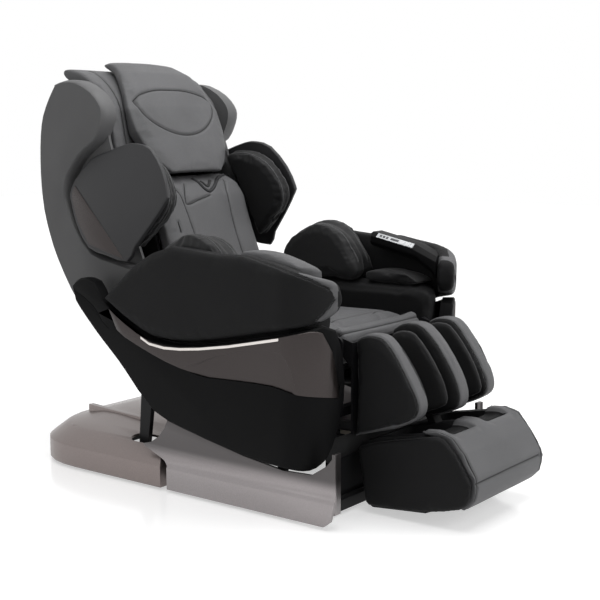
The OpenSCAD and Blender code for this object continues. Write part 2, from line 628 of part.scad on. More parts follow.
// Frame on the slanted inner face of the pod, z out of the face
module on_pod_face() {
    translate([channel_inner + 7.5, -186, 700.2]) rotate([pod_slope, 0, 0]) rotate([0, -45, 0]) children();
}
key_w = 11;
key_l = 15;
key_travel = 1.5;
display_z = 1.5;
key_places = [-34, -56];
module pod_display() color("#cfd3d6") on_pod_face() difference() {
    block([-8.5, -76, display_z], [8.5, 60, display_z + 1.8]);
    for (y = key_places) block([-key_w / 2 - 0.3, y - key_l / 2 - 0.3, display_z - 1],
                               [key_w / 2 + 0.3, y + key_l / 2 + 0.3, display_z + 3]);
}
module pod_key(i) color("#e6e6e6") on_pod_face() translate([0, key_places[i], 0])
    block([-key_w / 2, -key_l / 2, -4 + key_travel + 0.2], [key_w / 2, key_l / 2, 4]);
module control_box() color("#303032") difference() {
    block([-150, -20, cross_low_z + 3], [150, cross_rear_y, pan_z - soft_gap]);
    for (x = [-120:24:120]) block([x, 40, cross_low_z], [x + 8, 110, cross_low_z + 10]);
}

// ---- actuators ----------------------------------------------------------
function heading(a, b) = atan2(b[1] - a[1], b[0] - a[0]);
module along(a, b, x) {
    translate([x, a[0], a[1]]) rotate([heading(a, b), 0, 0]) rotate([-90, 0, 0]) children();
}
rod_r = 9;
module actuator(target, x, tube_l, rod_hole) {
    difference() {
        union() {
            rod_x(actuator_root, 14, x - 19, x + 19);
            along(actuator_root, target, x) {
                cylinder(h = tube_l, r = 16);
                translate([0, 31, 22]) cylinder(h = 95, r = 14);
                translate([-13, 0, 18]) cube([26, 38, 26]);
            }
        }
        along(actuator_root, target, x) translate([0, 0, rod_hole]) cylinder(h = tube_l, r = rod_r + pin_gap);
    }
    rod_x(actuator_root, 6, x - 28, x + 28);
}
module actuator_rod(target, x, start) {
    l = norm(target - actuator_root);
    difference() {
        union() {
            along(actuator_root, target, x) translate([0, 0, start]) cylinder(h = l - start - 8, r = rod_r);
            rod_x(target, 12, x - 8, x + 8);
        }
        rod_x(target, 7, x - 9, x + 9);
    }
}
module recline_actuator() color("#46464a") actuator(recline_end, actuator_x, 190, 36);
module recline_rod() color(steel) actuator_rod(recline_end, actuator_x, 86);
module legrest_actuator() color("#46464a") actuator(lift_end, 0, 240, 70);
module legrest_rod() color(steel) actuator_rod(lift_end, 0, 80);

// ---- back ----------------------------------------------------------------
// Frame with its origin at the foot of the back, y rearwards and z up along it
module in_back() {
    translate([0, back_foot[0], back_foot[1]]) rotate([-back_lean, 0, 0]) children();
}
frame_v = [92, 132];
frame_x = 213;
tube_t = 30;
back_top_u = 640;
pivot_v = (recline_pivot[0] - back_foot[0]) * cos(back_lean) - (recline_pivot[1] - back_foot[1]) * sin(back_lean);
pivot_u = (recline_pivot[0] - back_foot[0]) * sin(back_lean) + (recline_pivot[1] - back_foot[1]) * cos(back_lean);
side_plate_x = frame_x + tube_t + 19;
side_plate_t = 10;
screw_v = 182;
screw_r = 9;

head_board = [[508, 1000], [526, 1070], [552, 1122], [604, 1150], [630, 1150], [590, 1075], [562, 1005]];
module back_frame() color("#3c3c40") union() {
    in_back() {
        both_sides() {
            block([frame_x, frame_v[0], -60], [frame_x + tube_t, frame_v[1], back_top_u]);
            // plates that the back cushion is laced to
            block([frame_x - 8, 1 + soft_gap, -20], [frame_x + 1, frame_v[0] + 1, 420]);
            // channel lips that guide the massage carriage
            block([frame_x - 16, frame_v[0] - 5, 0], [frame_x, frame_v[0] + 1, 560]);
            block([frame_x - 16, frame_v[1] - 1, 0], [frame_x, frame_v[1] + 5, 560]);
            // arms that carry the side covers
            for (u = [120, 420, 590])
                block([frame_x + tube_t - 1, frame_v[0] + 5, u], [side_plate_x, frame_v[1] - 5, u + 40]);
            link([pivot_v, pivot_u], [frame_v[0] + 14, -40], 20, 18, recline_ear_x, recline_ear_x + ear_t);
        }
        for (u = [-60, back_top_u - 30])
            block([-frame_x, frame_v[0], u], [frame_x, frame_v[1], u + 30]);
        for (u = [-52, back_top_u - 26])
            block([-18, frame_v[1] - 1, u], [18, screw_v + 14, u + 20]);
    }
    // board behind the headrest
    plate_x(head_board, -frame_x - 1, frame_x + 1);
    rod_x(recline_pivot, 14, -recline_ear_x - 1, recline_ear_x + 1);
    both_sides() rod_x(recline_pivot, recline_pin_r, recline_ear_x, recline_ear_x + 2 * ear_t + back_ear_gap + 2);
    // lever pair for the recline actuator
    for (d = [-1, 1]) difference() {
        link(recline_pivot, recline_end, 16, 13, actuator_x + d * 13 - 3, actuator_x + d * 13 + 3);
        rod_x(recline_end, 6, actuator_x + d * 13 - 5, actuator_x + d * 13 + 5);
    }
}
rear_line = [[560, 470], [623, 545], [682, 639], [714, 711], [738, 789], [748, 868], [750, 947],
             [745, 1026], [731, 1088], [700, 1144], [672, 1182]];
shell_t = 14;
shell_crown = 15;
back_cover_half = side_plate_x - 0.3;
shell_band = concat(rear_line,
    backwards([for (i = [0:10]) rear_line[i] - [shell_t, i < 5 ? -4 : 6]]));
module back_shell() color("#2c2c2f") loft_x(smooth_loop(shell_band, 1), [
    for (k = [-1:0.25:1]) [k * back_cover_half, 0, shell_crown * (1 - k * k)]]);
wing_side = smooth_loop([
    [350, 1007], [290, 990], [232, 925], [205, 861], [210, 836], [257, 768], [312, 699], [338, 652],
    [433, 666], [511, 685], [572, 752], [611, 827], [616, 849], [603, 889], [540, 957], [480, 978],
    [400, 1003]]);
back_front_low = smooth_run([[324, 606], [306, 540], [300, 476]]);
back_bottom = [[300, 452], [430, 456]];
back_crest = smooth_run([[672, 1184], [630, 1194], [572, 1190], [507, 1160], [470, 1125], [458, 1096],
                         [464, 1062], [482, 1026]]);
// Clear space round the wing, down the back side's outer face
wing_notch = smooth_run([[498, 1006], [526, 990], [572, 958], [622, 898], [634, 849], [627, 820], [585, 741],
                         [520, 670], [436, 650], [340, 632]]);
back_side_full = concat(back_bottom, smooth_run(rear_line), back_crest,
    spread([[480, 1008], [440, 900], [378, 730], [336, 630]], len(wing_notch)), back_front_low);
back_side_face = concat(back_bottom, smooth_run(rear_line), back_crest, wing_notch, back_front_low);
// Slope of the plate's outer face round the wing, which gives each wall of the loft a height
plate_slope = 0.5;
module back_side(s) color("#2c2c2f") on_side(s) loft_rings([
    [side_plate_x, back_side_full], [side_plate_x + side_plate_t - plate_slope, back_side_full],
    [side_plate_x + side_plate_t, back_side_face], [side_plate_x + 36, back_side_face],
    [side_plate_x + 48, inset(back_side_face, 3)], [side_plate_x + 54, inset(back_side_face, 6)],
    [side_plate_x + 56, inset(back_side_face, 8)]
], bent = true);
upper_pad_front = [[690, 1230], [622, 1218], [560, 1184], [508, 1132], [486, 1078], [468, 1000],
                   [452, 925]];
upper_pad_side = smooth_loop(concat([[492, 935], [507, 1000], [525, 1070], [551, 1123], [604, 1154],
    [674, 1184], [702, 1204], [705, 1220]], upper_pad_front, [[466, 914]]));
module upper_back_pad() color(leather)
    soft_slab(upper_pad_side, -side_plate_x + soft_gap, side_plate_x - soft_gap, 7);
module back_cushion() color(leather) in_back() long_cushion([
    for (s = [[432, 10, 0.80, 0.40], [418, 0, 0.90, 0.66], [385, -20, 0.97, 0.88], [340, -28, 1, 1],
              [250, -28, 1, 1], [120, -28, 1, 1], [-8, -27, 0.98, 0.95], [-25, -20, 0.88, 0.55]])
        [s[1], s[0], back_half * s[2], (back_thickness - 2) / 2 * s[3], 180]
]);
// Frame of a shoulder wing: origin on its outer face, leaning outwards at the bottom
wing_z = 830;
wing_x = side_plate_x + 56;
module in_wing() {
    translate([wing_x, 0, wing_z]) rotate([0, -wing_lean, 0]) translate([0, 0, -wing_z]) children();
}
wing_boss = [500, 820];
module wing_shell(s) color("#2c2c2f") on_side(s) union() {
    in_wing() loft_x(wing_side, [[-wing_t, 3], [-wing_t + 3, 0], [-5, 0], [-1.5, 2.5], [0, 7]]);
    rod_x(wing_boss, 28, side_plate_x + side_plate_t, wing_x - wing_t + 3);
}
inlay_side = [[352, 660], [433, 677], [505, 695], [562, 757], [600, 829], [603, 849], [594, 872]];
module wing_inlays() color(bronze) both_sides() in_wing()
    plate_x(inlay_side, 0, 1.5);
wing_bag_side = smooth_loop([
    [318, 704], [340, 694], [362, 735], [394, 815], [424, 895], [446, 955], [436, 980], [400, 985],
    [330, 980], [270, 950], [224, 890], [212, 838], [240, 780]]);
wing_bag_t = 27;
module wing_airbags(s) color(black) on_side(s) in_wing() for (i = [0, 1])
    translate([-wing_t - (i + 1) * (wing_bag_t + soft_gap), 0, 0])
        soft_slab(inset(wing_bag_side, 4 * i), 0, wing_bag_t, 7);
module carriage_screw() color(steel) in_back() translate([0, screw_v, -52 + 20])
    cylinder(h = back_top_u - 26 + 52 - 20, r = screw_r);
pillow_hinge = [672, 1236];
// Front and back of the pillow down its middle, with its half width there
pillow_rows = [
    [[664, 1249], [667, 1236], 118], [[638, 1257], [642, 1227], 130], [[592, 1252], [601, 1214], 146],
    [[532, 1223], [557, 1190], 172], [[484, 1172], [514, 1145], 196], [[445, 1112], [485, 1092], 214],
    [[413, 1046], [471, 1027], 212], [[382, 978], [440, 962], 190], [[361, 932], [412, 915], 152],
    [[350, 908], [378, 899], 118]];
module head_pillow() color(leather) long_cushion([
    for (r = pillow_rows) let (c = (r[0] + r[1]) / 2, d = r[0] - r[1])
        [c[0], c[1], r[2], norm(d) / 2, atan2(d[1], d[0])]], 0);

// ---- massage carriage -----------------------------------------------------
carriage_u = 150;
shaft_v = 104;
roller_v = 44;
roller_du = 65;
arm_x = 72;
roller_x = arm_x + 16;
stub_r = 6;
carriage_side_x = 150;
module at_back(v, u, x0, x1, r) {
    translate([x0, v, u]) rotate([0, 90, 0]) cylinder(h = x1 - x0, r = r);
}
module carriage_frame() color("#55555a") in_back() difference() {
    union() {
        both_sides() {
            block([carriage_side_x, 70, carriage_u - 42], [carriage_side_x + 8, 165, carriage_u + 42]);
            at_back((frame_v[0] + frame_v[1]) / 2, carriage_u + 22, carriage_side_x, frame_x - 15, 9);
            at_back((frame_v[0] + frame_v[1]) / 2, carriage_u - 22, carriage_side_x, frame_x - 15, 9);
            block([frame_x - 15, frame_v[0] + 1.5, carriage_u - 34], [frame_x - 0.5, frame_v[1] - 1.5, carriage_u + 34]);
        }
        block([-carriage_side_x, 128, carriage_u - 36], [carriage_side_x, 164, carriage_u + 36]);
        block([-22, 160, carriage_u - 20], [22, screw_v + 16, carriage_u + 20]);
    }
    at_back(shaft_v, carriage_u, -carriage_side_x - 10, carriage_side_x + 10, knead_shaft_r + pin_gap);
    translate([0, screw_v, carriage_u - 25]) cylinder(h = 50, r = screw_r + pin_gap);
}
module roller_arms() color(steel) in_back() union() {
    at_back(shaft_v, carriage_u, -carriage_side_x - 12, carriage_side_x + 12, knead_shaft_r);
    both_sides() {
        for (d = [-1, 1]) {
            link([shaft_v, carriage_u], [roller_v, carriage_u + d * roller_du], 14, 10, arm_x, arm_x + 12);
            at_back(roller_v, carriage_u + d * roller_du, arm_x, roller_x + roller_w + 3, stub_r);
        }
    }
}
module roller_pair(d) color("#d9d2c4") in_back() both_sides() difference() {
    translate([roller_x, roller_v, carriage_u + d * roller_du]) rotate([0, 90, 0]) rotate_extrude()
        polygon([[0, 0], [roller_r * 0.78, 0], [roller_r * 0.93, 4], [roller_r, 11], [roller_r, roller_w - 11],
                 [roller_r * 0.93, roller_w - 4], [roller_r * 0.78, roller_w], [0, roller_w]]);
    at_back(roller_v, carriage_u + d * roller_du, roller_x - 1, roller_x + roller_w + 1, stub_r + pin_gap);
}

// ---- calf unit --------------------------------------------------------------
calf_rear_y = -391;
calf_side = smooth_loop([
    [-590, 278], [-540, 252], [-460, 225], [calf_rear_y - 6, 205], [calf_rear_y, 215], [calf_rear_y, 350],
    [calf_rear_y, 470], [-400, 488], [-425, 500], [-455, 503], [-491, 495], [-537, 448],
    [-582, 381], [-603, 330], [-604, 300]]);
divider_side = smooth_loop([
    [-604, 276], [-545, 252], [-460, 225], [calf_rear_y - 6, 205], [calf_rear_y, 215], [calf_rear_y, 350],
    [calf_rear_y, 470], [-402, 492], [-428, 507], [-462, 512], [-500, 503], [-550, 455],
    [-598, 385], [-620, 332], [-620, 298]]);
pad_inner = calf_half - calf_pad_w;
guide_lean = 30;
guide_foot = [-512, 250];
guide_l = 165;
guide_w = [36, 22];
sleeve_wall = 4;
module along_guide() {
    translate([0, guide_foot[0], guide_foot[1]]) rotate([-guide_lean, 0, 0]) children();
}
module guide_box(grow, z0, z1) {
    along_guide() block([-guide_w[0] / 2 - grow, -guide_w[1] / 2 - grow, z0],
                        [guide_w[0] / 2 + grow, guide_w[1] / 2 + grow, z1]);
}
module calf_frame() color("#3c3c40") difference() {
    union() {
        block([-calf_half + 2, calf_rear_y + 1.1, 215], [calf_half - 2, calf_rear_y + 6.5, 470]);
        both_sides() {
            plate_x(concat([[calf_rear_y + 1.1, 400], [calf_rear_y + 6.5, 400]],
                           [for (a = [-50:15:100]) leg_pivot + 16 * [cos(a), sin(a)]],
                           [[calf_rear_y + 1.1, 470]]), leg_ear_x, leg_ear_x + ear_t - 1);
            rod_x(leg_pivot, leg_pin_r, leg_ear_x, seat_ear_x + ear_t + 2);
            // clevis for the lifting rod
            difference() {
                link(lift_end, [calf_rear_y + 8, lift_end[1]], 11, 6, 12, 18);
                rod_x(lift_end, 6, 10, 20);
            }
        }
        guide_box(sleeve_wall, 0, guide_l);
        block([-guide_w[0] / 2 - sleeve_wall, -430, 375], [guide_w[0] / 2 + sleeve_wall, calf_rear_y + 2, 395]);
    }
    guide_box(0.4, -5, guide_l - 6);
}
module calf_pad(s) color(leather) on_side(s)
    loft_x(calf_side, [[pad_inner, 8], [pad_inner + 3, 2], [pad_inner + 11, 0], [calf_half - 16, 0],
                       [calf_half - 6, 4], [calf_half - 1, 11], [calf_half, 16]]);
module calf_divider() color(leather) difference() {
    soft_slab(divider_side, -divider_half, divider_half, 8);
    guide_box(sleeve_wall + soft_gap, -40, guide_l + 3);
    block([-guide_w[0] / 2 - sleeve_wall - soft_gap, -430, 373], [guide_w[0] / 2 + sleeve_wall + soft_gap, calf_rear_y + 2, 400]);
}
calf_bag_side = inset(calf_side, 13);
module calf_airbags() color(black) both_sides() {
    soft_slab(calf_bag_side, pad_inner - soft_gap - calf_bag_t, pad_inner - soft_gap, 4);
    soft_slab(calf_bag_side, divider_half + soft_gap, divider_half + soft_gap + calf_bag_t + 6, 5);
}
channel_x = [divider_half + calf_bag_t + 7 + 2 * soft_gap, pad_inner - calf_bag_t - 2 * soft_gap];
module calf_back_pads() color(leather) both_sides() soft_slab(smooth_loop([
    [-418, 236], [calf_rear_y - 4, 232], [calf_rear_y - 1, 250], [calf_rear_y - 1, 350], [calf_rear_y - 1, 450],
    [calf_rear_y - 6, 470], [-412, 474], [-426, 450], [-428, 350], [-426, 260]]), channel_x[0], channel_x[1], 6);

// ---- foot unit ----------------------------------------------------------------
foot_side = smooth_loop([
    [-727, 54], [-621, 26], [-520, 14], [-446, 12], [-424, 24], [-408, 100], [-397, 172], [-410, 192],
    [-476, 216], [-560, 236], [-640, 252], [-682, 246], [-722, 204], [-760, 145], [-front_reach, 118],
    [-756, 82]]);
housing_side = [[-698, 64], [-615, 28], [-446, 13], [-424, 24], [-408, 100], [-397, 172], [-410, 192],
                [-476, 216], [-590, 238], [-648, 228], [-690, 196], [-736, 135], [-736, 100]];
housing_half = foot_half - 17;
well_x = 34;
well_y = [-632, -455];
roller_axis = [-560, well_floor_z - 14];
sole_r = 18;
module foot_housing() color("#242426") union() {
    difference() {
        plate_x(housing_side, -housing_half, housing_half);
        both_sides() {
            translate([0, 0, well_floor_z]) linear_extrude(220) polygon([
                for (c = [0:3]) for (a = [0:15:90]) let (t = c * 90 + a)
                    [c == 0 || c == 3 ? well_x + well_w - 22 : well_x + 22,
                     c < 2 ? well_y[1] - 22 : well_y[0] + 22] + 22 * [cos(t), sin(t)]]);
            block([well_x + 12, roller_axis[0] - sole_r - 3, roller_axis[1] - sole_r - 3],
                  [well_x + well_w - 12, roller_axis[0] + sole_r + 3, well_floor_z + 1]);
        }
        rod_x(roller_axis, 6 + pin_gap, -housing_half + 12, housing_half - 12);
    }
    guide_box(0, -35, guide_l - 12);
}
module foot_cover() color(cloth_grey) soft_slab([
    [-727, 52], [-704, 60], [-742, 98], [-741, 139], [-694, 200], [-650, 232], [-592, 242], [-598, 250],
    [-642, 256], [-684, 248], [-725, 205], [-761, 146], [-front_reach, 118], [-757, 82]],
    -housing_half, housing_half, 2, bent = true);
module foot_side_pads() color(leather) both_sides()
    loft_x(foot_side, [[housing_half + 0.5, 1], [foot_half - 8, 0], [foot_half - 2, 4], [foot_half, 10]]);
module sole_rollers() color("#c9b88f") union() {
    rod_x(roller_axis, 6, -housing_half + 14, housing_half - 14);
    both_sides() for (i = [0:4])
        translate([well_x + 20 + i * 20, roller_axis[0], roller_axis[1]]) rotate([0, 90, 0])
            cylinder(h = 10, r = sole_r - (i % 2) * 5);
}

// ---- assembly --------------------------------------------------------------------
base_frame();
base_feet();
rear_base_cover();
transport_wheels();
chassis_frame();
glide_shoes();
skirt(1);  // skirt_left
skirt(-1);  // skirt_right
front_kick_panel();
seat_frame();
seat_cushion();
seat_apron();
side_shell(1);  // side_shell_left
side_shell(-1);  // side_shell_right
side_trim(1);  // side_trim_left
side_trim(-1);  // side_trim_right
trim_rails();
arm_pad(1);  // arm_pad_left
arm_pad(-1);  // arm_pad_right
arm_inner_pad(1);  // arm_inner_pad_left
arm_inner_pad(-1);  // arm_inner_pad_right
hand_airbags(1);  // hand_airbags_left
hand_airbags(-1);  // hand_airbags_right
arm_cap_right();
controller_pod();
pod_display();
pod_key(0);  // pod_key_a
pod_key(1);  // pod_key_b
control_box();
recline_actuator();
recline_rod();
legrest_actuator();
legrest_rod();
back_frame();
back_shell();
back_side(1);  // back_side_left
back_side(-1);  // back_side_right
upper_back_pad();
back_cushion();
wing_shell(1);  // wing_shell_left
wing_shell(-1);  // wing_shell_right
wing_inlays();
wing_airbags(1);  // wing_airbags_left
wing_airbags(-1);  // wing_airbags_right
carriage_screw();
head_pillow();
carriage_frame();
roller_arms();
roller_pair(1);  // upper_rollers
roller_pair(-1);  // lower_rollers
calf_frame();
calf_pad(1);  // calf_pad_left
calf_pad(-1);  // calf_pad_right
calf_divider();
calf_airbags();
calf_back_pads();
foot_housing();
foot_cover();
foot_side_pads();
sole_rollers();
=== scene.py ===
"""Dresses a reclining massage chair: padded leather, cloth airbags, moulded covers, bronze trim and bare steel.

Every size is in metres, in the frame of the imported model: +Z is up and the sitter faces -Y.
"""

import logging
import math
from dataclasses import dataclass, field
from enum import Enum
from typing import Any, Callable, Dict, Iterable, List, Optional, Sequence, Tuple, Union

import bpy
import numpy as np
from mathutils import Matrix, Vector
from mathutils.bvhtree import BVHTree


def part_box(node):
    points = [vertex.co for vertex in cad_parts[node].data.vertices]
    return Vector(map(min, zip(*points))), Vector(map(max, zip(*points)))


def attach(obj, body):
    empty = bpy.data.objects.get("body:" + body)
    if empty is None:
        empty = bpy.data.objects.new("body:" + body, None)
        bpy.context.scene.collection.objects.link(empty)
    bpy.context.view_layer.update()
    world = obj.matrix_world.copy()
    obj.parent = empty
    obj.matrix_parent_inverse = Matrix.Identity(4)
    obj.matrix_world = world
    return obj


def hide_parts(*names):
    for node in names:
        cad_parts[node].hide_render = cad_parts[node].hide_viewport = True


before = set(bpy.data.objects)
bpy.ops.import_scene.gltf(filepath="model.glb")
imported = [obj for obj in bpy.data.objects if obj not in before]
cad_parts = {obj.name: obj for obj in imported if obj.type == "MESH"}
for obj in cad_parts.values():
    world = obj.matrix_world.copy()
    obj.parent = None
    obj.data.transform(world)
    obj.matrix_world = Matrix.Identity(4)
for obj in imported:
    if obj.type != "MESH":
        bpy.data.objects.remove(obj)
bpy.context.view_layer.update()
log = logging.getLogger("massage_chair")

Point = Tuple[float, float, float]
Colour = Tuple[float, float, float]


# ---------------------------------------------------------------- shader maths


class Signal:
    """One output of a shader node, usable in ordinary arithmetic."""

    def __init__(self, board: "Board", socket: bpy.types.NodeSocket) -> None:
        """Keeps the node's output and the board that it stands on."""
        self.board = board
        self.socket = socket

    def _math(self, operation: str, *values: Any) -> "Signal":
        """Adds a Math node over the given values."""
        return self.board.add("ShaderNodeMath", {"operation": operation}, dict(enumerate(values)))

    def __add__(self, other: Any) -> "Signal":
        """Sum."""
        return self._math("ADD", self, other)

    __radd__ = __add__

    def __sub__(self, other: Any) -> "Signal":
        """Difference."""
        return self._math("SUBTRACT", self, other)

    def __rsub__(self, other: Any) -> "Signal":
        """Difference, the other way round."""
        return self._math("SUBTRACT", other, self)

    def __mul__(self, other: Any) -> "Signal":
        """Product."""
        return self._math("MULTIPLY", self, other)

    __rmul__ = __mul__

    def __truediv__(self, other: Any) -> "Signal":
        """Quotient."""
        return self._math("DIVIDE", self, other)

    def __pow__(self, other: Any) -> "Signal":
        """Power."""
        return self._math("POWER", self, other)

    def sine(self) -> "Signal":
        """Sine, in radians."""
        return self._math("SINE", self)

    def least(self, other: Any) -> "Signal":
        """The smaller of two values."""
        return self._math("MINIMUM", self, other)

    def most(self, other: Any) -> "Signal":
        """The larger of two values."""
        return self._math("MAXIMUM", self, other)

    def step(self, low: float, high: float) -> "Signal":
        """Smooth step from 0 at low to 1 at high."""
        return self.board.add(
            "ShaderNodeMapRange",
            {"interpolation_type": "SMOOTHSTEP"},
            {"Value": self, "From Min": low, "From Max": high},
        )


class Board:
    """The node tree of one material, with one method that adds any node."""

    def __init__(self, name: str) -> None:
        """Makes an empty material of that name."""
        self.material = bpy.data.materials.new(name)
        self.material.use_nodes = True
        self.tree = self.material.node_tree
        self.tree.nodes.clear()
        self._place: Optional[Signal] = None

    def add(
        self,
        kind: str,
        settings: Optional[Dict[str, Any]] = None,
        inputs: Optional[Dict[Union[str, int], Any]] = None,
        output: Union[str, int] = 0,
    ) -> Signal:
        """Adds a node.

        Args:
            kind: the node's type.
            settings: its own properties, set first; "stops" fills a colour ramp.
            inputs: values or signals for its sockets, by name or number.
            output: the output that is wanted.

        Returns:
            That output as a signal.
        """
        node = self.tree.nodes.new(kind)
        for key, value in (settings or {}).items():
            if key == "stops":
                ramp = node.color_ramp
                while len(ramp.elements) < len(value):
                    ramp.elements.new(0.5)
                for element, (place, shade) in zip(ramp.elements, value):
                    element.position = place
                    element.color = (*shade, 1.0)
            else:
                setattr(node, key, value)
        for key, value in (inputs or {}).items():
            socket = node.inputs[key]
            if isinstance(value, Signal):
                self.tree.links.new(value.socket, socket)
            elif isinstance(value, (tuple, list)) and len(value) == 3 and socket.type == "RGBA":
                socket.default_value = (*value, 1.0)
            else:
                socket.default_value = value
        return Signal(self, node.outputs[output])

    def place(self) -> Signal:
        """Object coordinates, which are the chair's own frame."""
        if self._place is None:
            self._place = self.add("ShaderNodeTexCoord", output="Object")
        return self._place

    def axis(self, number: int) -> Signal:
        """One coordinate of the place: 0 across, 1 back, 2 up."""
        return self.add("ShaderNodeSeparateXYZ", None, {0: self.place()}, number)

    def noise(self, scale: float, detail: float = 2.0, where: Optional[Signal] = None) -> Signal:
        """Soft noise from 0 to 1."""
        return self.add(
            "ShaderNodeTexNoise", None, {"Vector": where or self.place(), "Scale": scale, "Detail": detail}
        )

    def attribute(self, name: str) -> Signal:
        """A value that the piece's mesh carries at its points, 0 where it has none."""
        return self.add("ShaderNodeAttribute", {"attribute_name": name}, None, "Fac")

    def blend(self, factor: Any, first: Any, second: Any) -> Signal:
        """Mixes two colours."""
        return self.add(
            "ShaderNodeMix", {"data_type": "RGBA"}, {0: factor, 6: first, 7: second}, 2
        )

    def bump(self, height: Signal, distance: float, strength: float = 1.0) -> Signal:
        """Turns a height into a bumped normal."""
        return self.add(
            "ShaderNodeBump", None, {"Height": height, "Distance": distance, "Strength": strength}
        )

    def surface(self, **sockets: Any) -> bpy.types.Material:
        """Ends the tree with a Principled shader.

        Args:
            sockets: its inputs, with _ for each space in their names.

        Returns:
            The finished material.
        """
        named = {key.replace("_", " "): value for key, value in sockets.items()}
        shader = self.add("ShaderNodeBsdfPrincipled", None, named)
        out = self.tree.nodes.new("ShaderNodeOutputMaterial")
        self.tree.links.new(shader.socket, out.inputs["Surface"])
        return self.material


def scaled(colour: Colour, amount: float) -> Colour:
    """A colour made lighter or darker."""
    return tuple(min(1.0, c * amount) for c in colour)  # type: ignore[return-value]


@dataclass(frozen=True)
class Leather:
    """Embossed leather: small pebbles, pores, slow changes of tone, and darker seams."""

    name: str
    colour: Colour
    roughness: float = 0.46
    pebble: float = 620.0
    depth: float = 0.00022
    specular: float = 0.5

    def make(self) -> bpy.types.Material:
        """Returns the leather as a material."""
        board = Board(self.name)
        warp = board.noise(90.0, 1.0)
        where = board.add(
            "ShaderNodeVectorMath",
            {"operation": "ADD"},
            {0: board.place(), 1: board.add("ShaderNodeCombineXYZ", None, {0: warp * 0.002, 1: warp * 0.001})},
        )
        cells = board.add(
            "ShaderNodeTexVoronoi",
            {"feature": "DISTANCE_TO_EDGE"},
            {"Vector": where, "Scale": self.pebble},
        )
        pebbles = cells.step(0.0, 0.22)
        pores = board.noise(2100.0, 1.0)
        creases = board.noise(26.0, 4.0)
        tone = board.noise(7.0, 3.0).step(0.3, 0.7)
        seam = board.attribute("seam")
        height = pebbles * 0.8 + pores * 0.25 + creases * 1.6 - seam * 1.5
        colour = board.blend(tone, scaled(self.colour, 0.88), scaled(self.colour, 1.12))
        colour = board.blend((1.0 - pebbles) * 0.35, colour, scaled(self.colour, 0.55))
        colour = board.blend(seam * 0.75, colour, scaled(self.colour, 0.3))
        rough = (tone - 0.5) * 0.06 + self.roughness + (1.0 - pebbles) * 0.1 + seam * 0.15
        return board.surface(
            Base_Color=colour,
            Roughness=rough,
            Specular_IOR_Level=self.specular,
            Normal=board.bump(height, self.depth),
        )


@dataclass(frozen=True)
class AirbagCloth:
    """Matt woven cloth of the airbags, with a fine plain weave."""

    name: str
    colour: Colour
    threads: float = 1500.0

    def make(self) -> bpy.types.Material:
        """Returns the cloth as a material."""
        board = Board(self.name)
        across = board.axis(0) + board.axis(1)
        upward = board.axis(2) + board.axis(1) * 0.35
        weave = (across * self.threads * 2.2).sine() * (upward * self.threads * 2.2).sine()
        tone = board.noise(11.0, 3.0).step(0.25, 0.75)
        folds = board.noise(34.0, 3.0)
        seam = board.attribute("seam")
        colour = board.blend(tone, scaled(self.colour, 0.8), scaled(self.colour, 1.2))
        colour = board.blend(weave * 0.2 + 0.2, colour, scaled(self.colour, 1.8))
        colour = board.blend(seam * 0.8, colour, scaled(self.colour, 0.35))
        return board.surface(
            Base_Color=colour,
            Roughness=tone * 0.1 + 0.62,
            Specular_IOR_Level=0.3,
            Sheen_Weight=0.12,
            Sheen_Roughness=0.5,
            Normal=board.bump(weave * 0.12 + folds * 2.0 - seam, 0.0004),
        )


@dataclass(frozen=True)
class Moulded:
    """Moulded plastic with a fine spark-eroded texture and faint flow marks."""

    name: str
    colour: Colour
    roughness: float = 0.45
    specular: float = 0.5
    coat: float = 0.0
    grain: float = 0.00006

    def make(self) -> bpy.types.Material:
        """Returns the plastic as a material."""
        board = Board(self.name)
        spark = board.noise(1900.0, 2.0)
        flow = board.noise(5.0, 2.0).step(0.3, 0.7)
        wear = board.noise(240.0, 3.0).step(0.62, 0.75)
        colour = board.blend(flow, scaled(self.colour, 0.92), scaled(self.colour, 1.08))
        return board.surface(
            Base_Color=board.blend(wear * 0.12, colour, scaled(self.colour, 1.7)),
            Roughness=flow * 0.05 + spark * 0.06 + self.roughness,
            Specular_IOR_Level=self.specular,
            Coat_Weight=self.coat,
            Coat_Roughness=0.12,
            Normal=board.bump(spark, self.grain),
        )


@dataclass(frozen=True)
class MetallicPaint:
    """Satin metallic paint: flakes of slightly different brightness under a thin clear coat.

    Above the heights given last, the paint darkens to 0.3 of its colour: painted shade for a band that lies in shade.
    """

    name: str
    colour: Colour
    roughness: float = 0.3
    metallic: float = 0.9
    coat: float = 0.25
    painted_shade_above: Tuple[float, float] = (9.0, 10.0)

    def make(self) -> bpy.types.Material:
        """Returns the paint as a material."""
        board = Board(self.name)
        flakes = board.add(
            "ShaderNodeTexVoronoi", {"feature": "F1"}, {"Vector": board.place(), "Scale": 1300.0}, "Color"
        )
        glint = board.add("ShaderNodeSeparateColor", None, {0: flakes}, 0)
        haze = board.noise(4.0, 2.0).step(0.3, 0.7)
        colour = board.blend(glint, scaled(self.colour, 0.86), scaled(self.colour, 1.14))
        # Painted shade: the paint is darker above the given heights.
        painted_shade_band = board.axis(2).step(*self.painted_shade_above)
        colour = board.blend(painted_shade_band, colour, scaled(self.colour, 0.3))
        return board.surface(
            Base_Color=colour,
            Metallic=self.metallic,
            Roughness=haze * 0.05 + glint * 0.05 + self.roughness,
            Coat_Weight=self.coat,
            Coat_Roughness=0.15,
            Normal=board.bump(glint, 0.00001),
        )


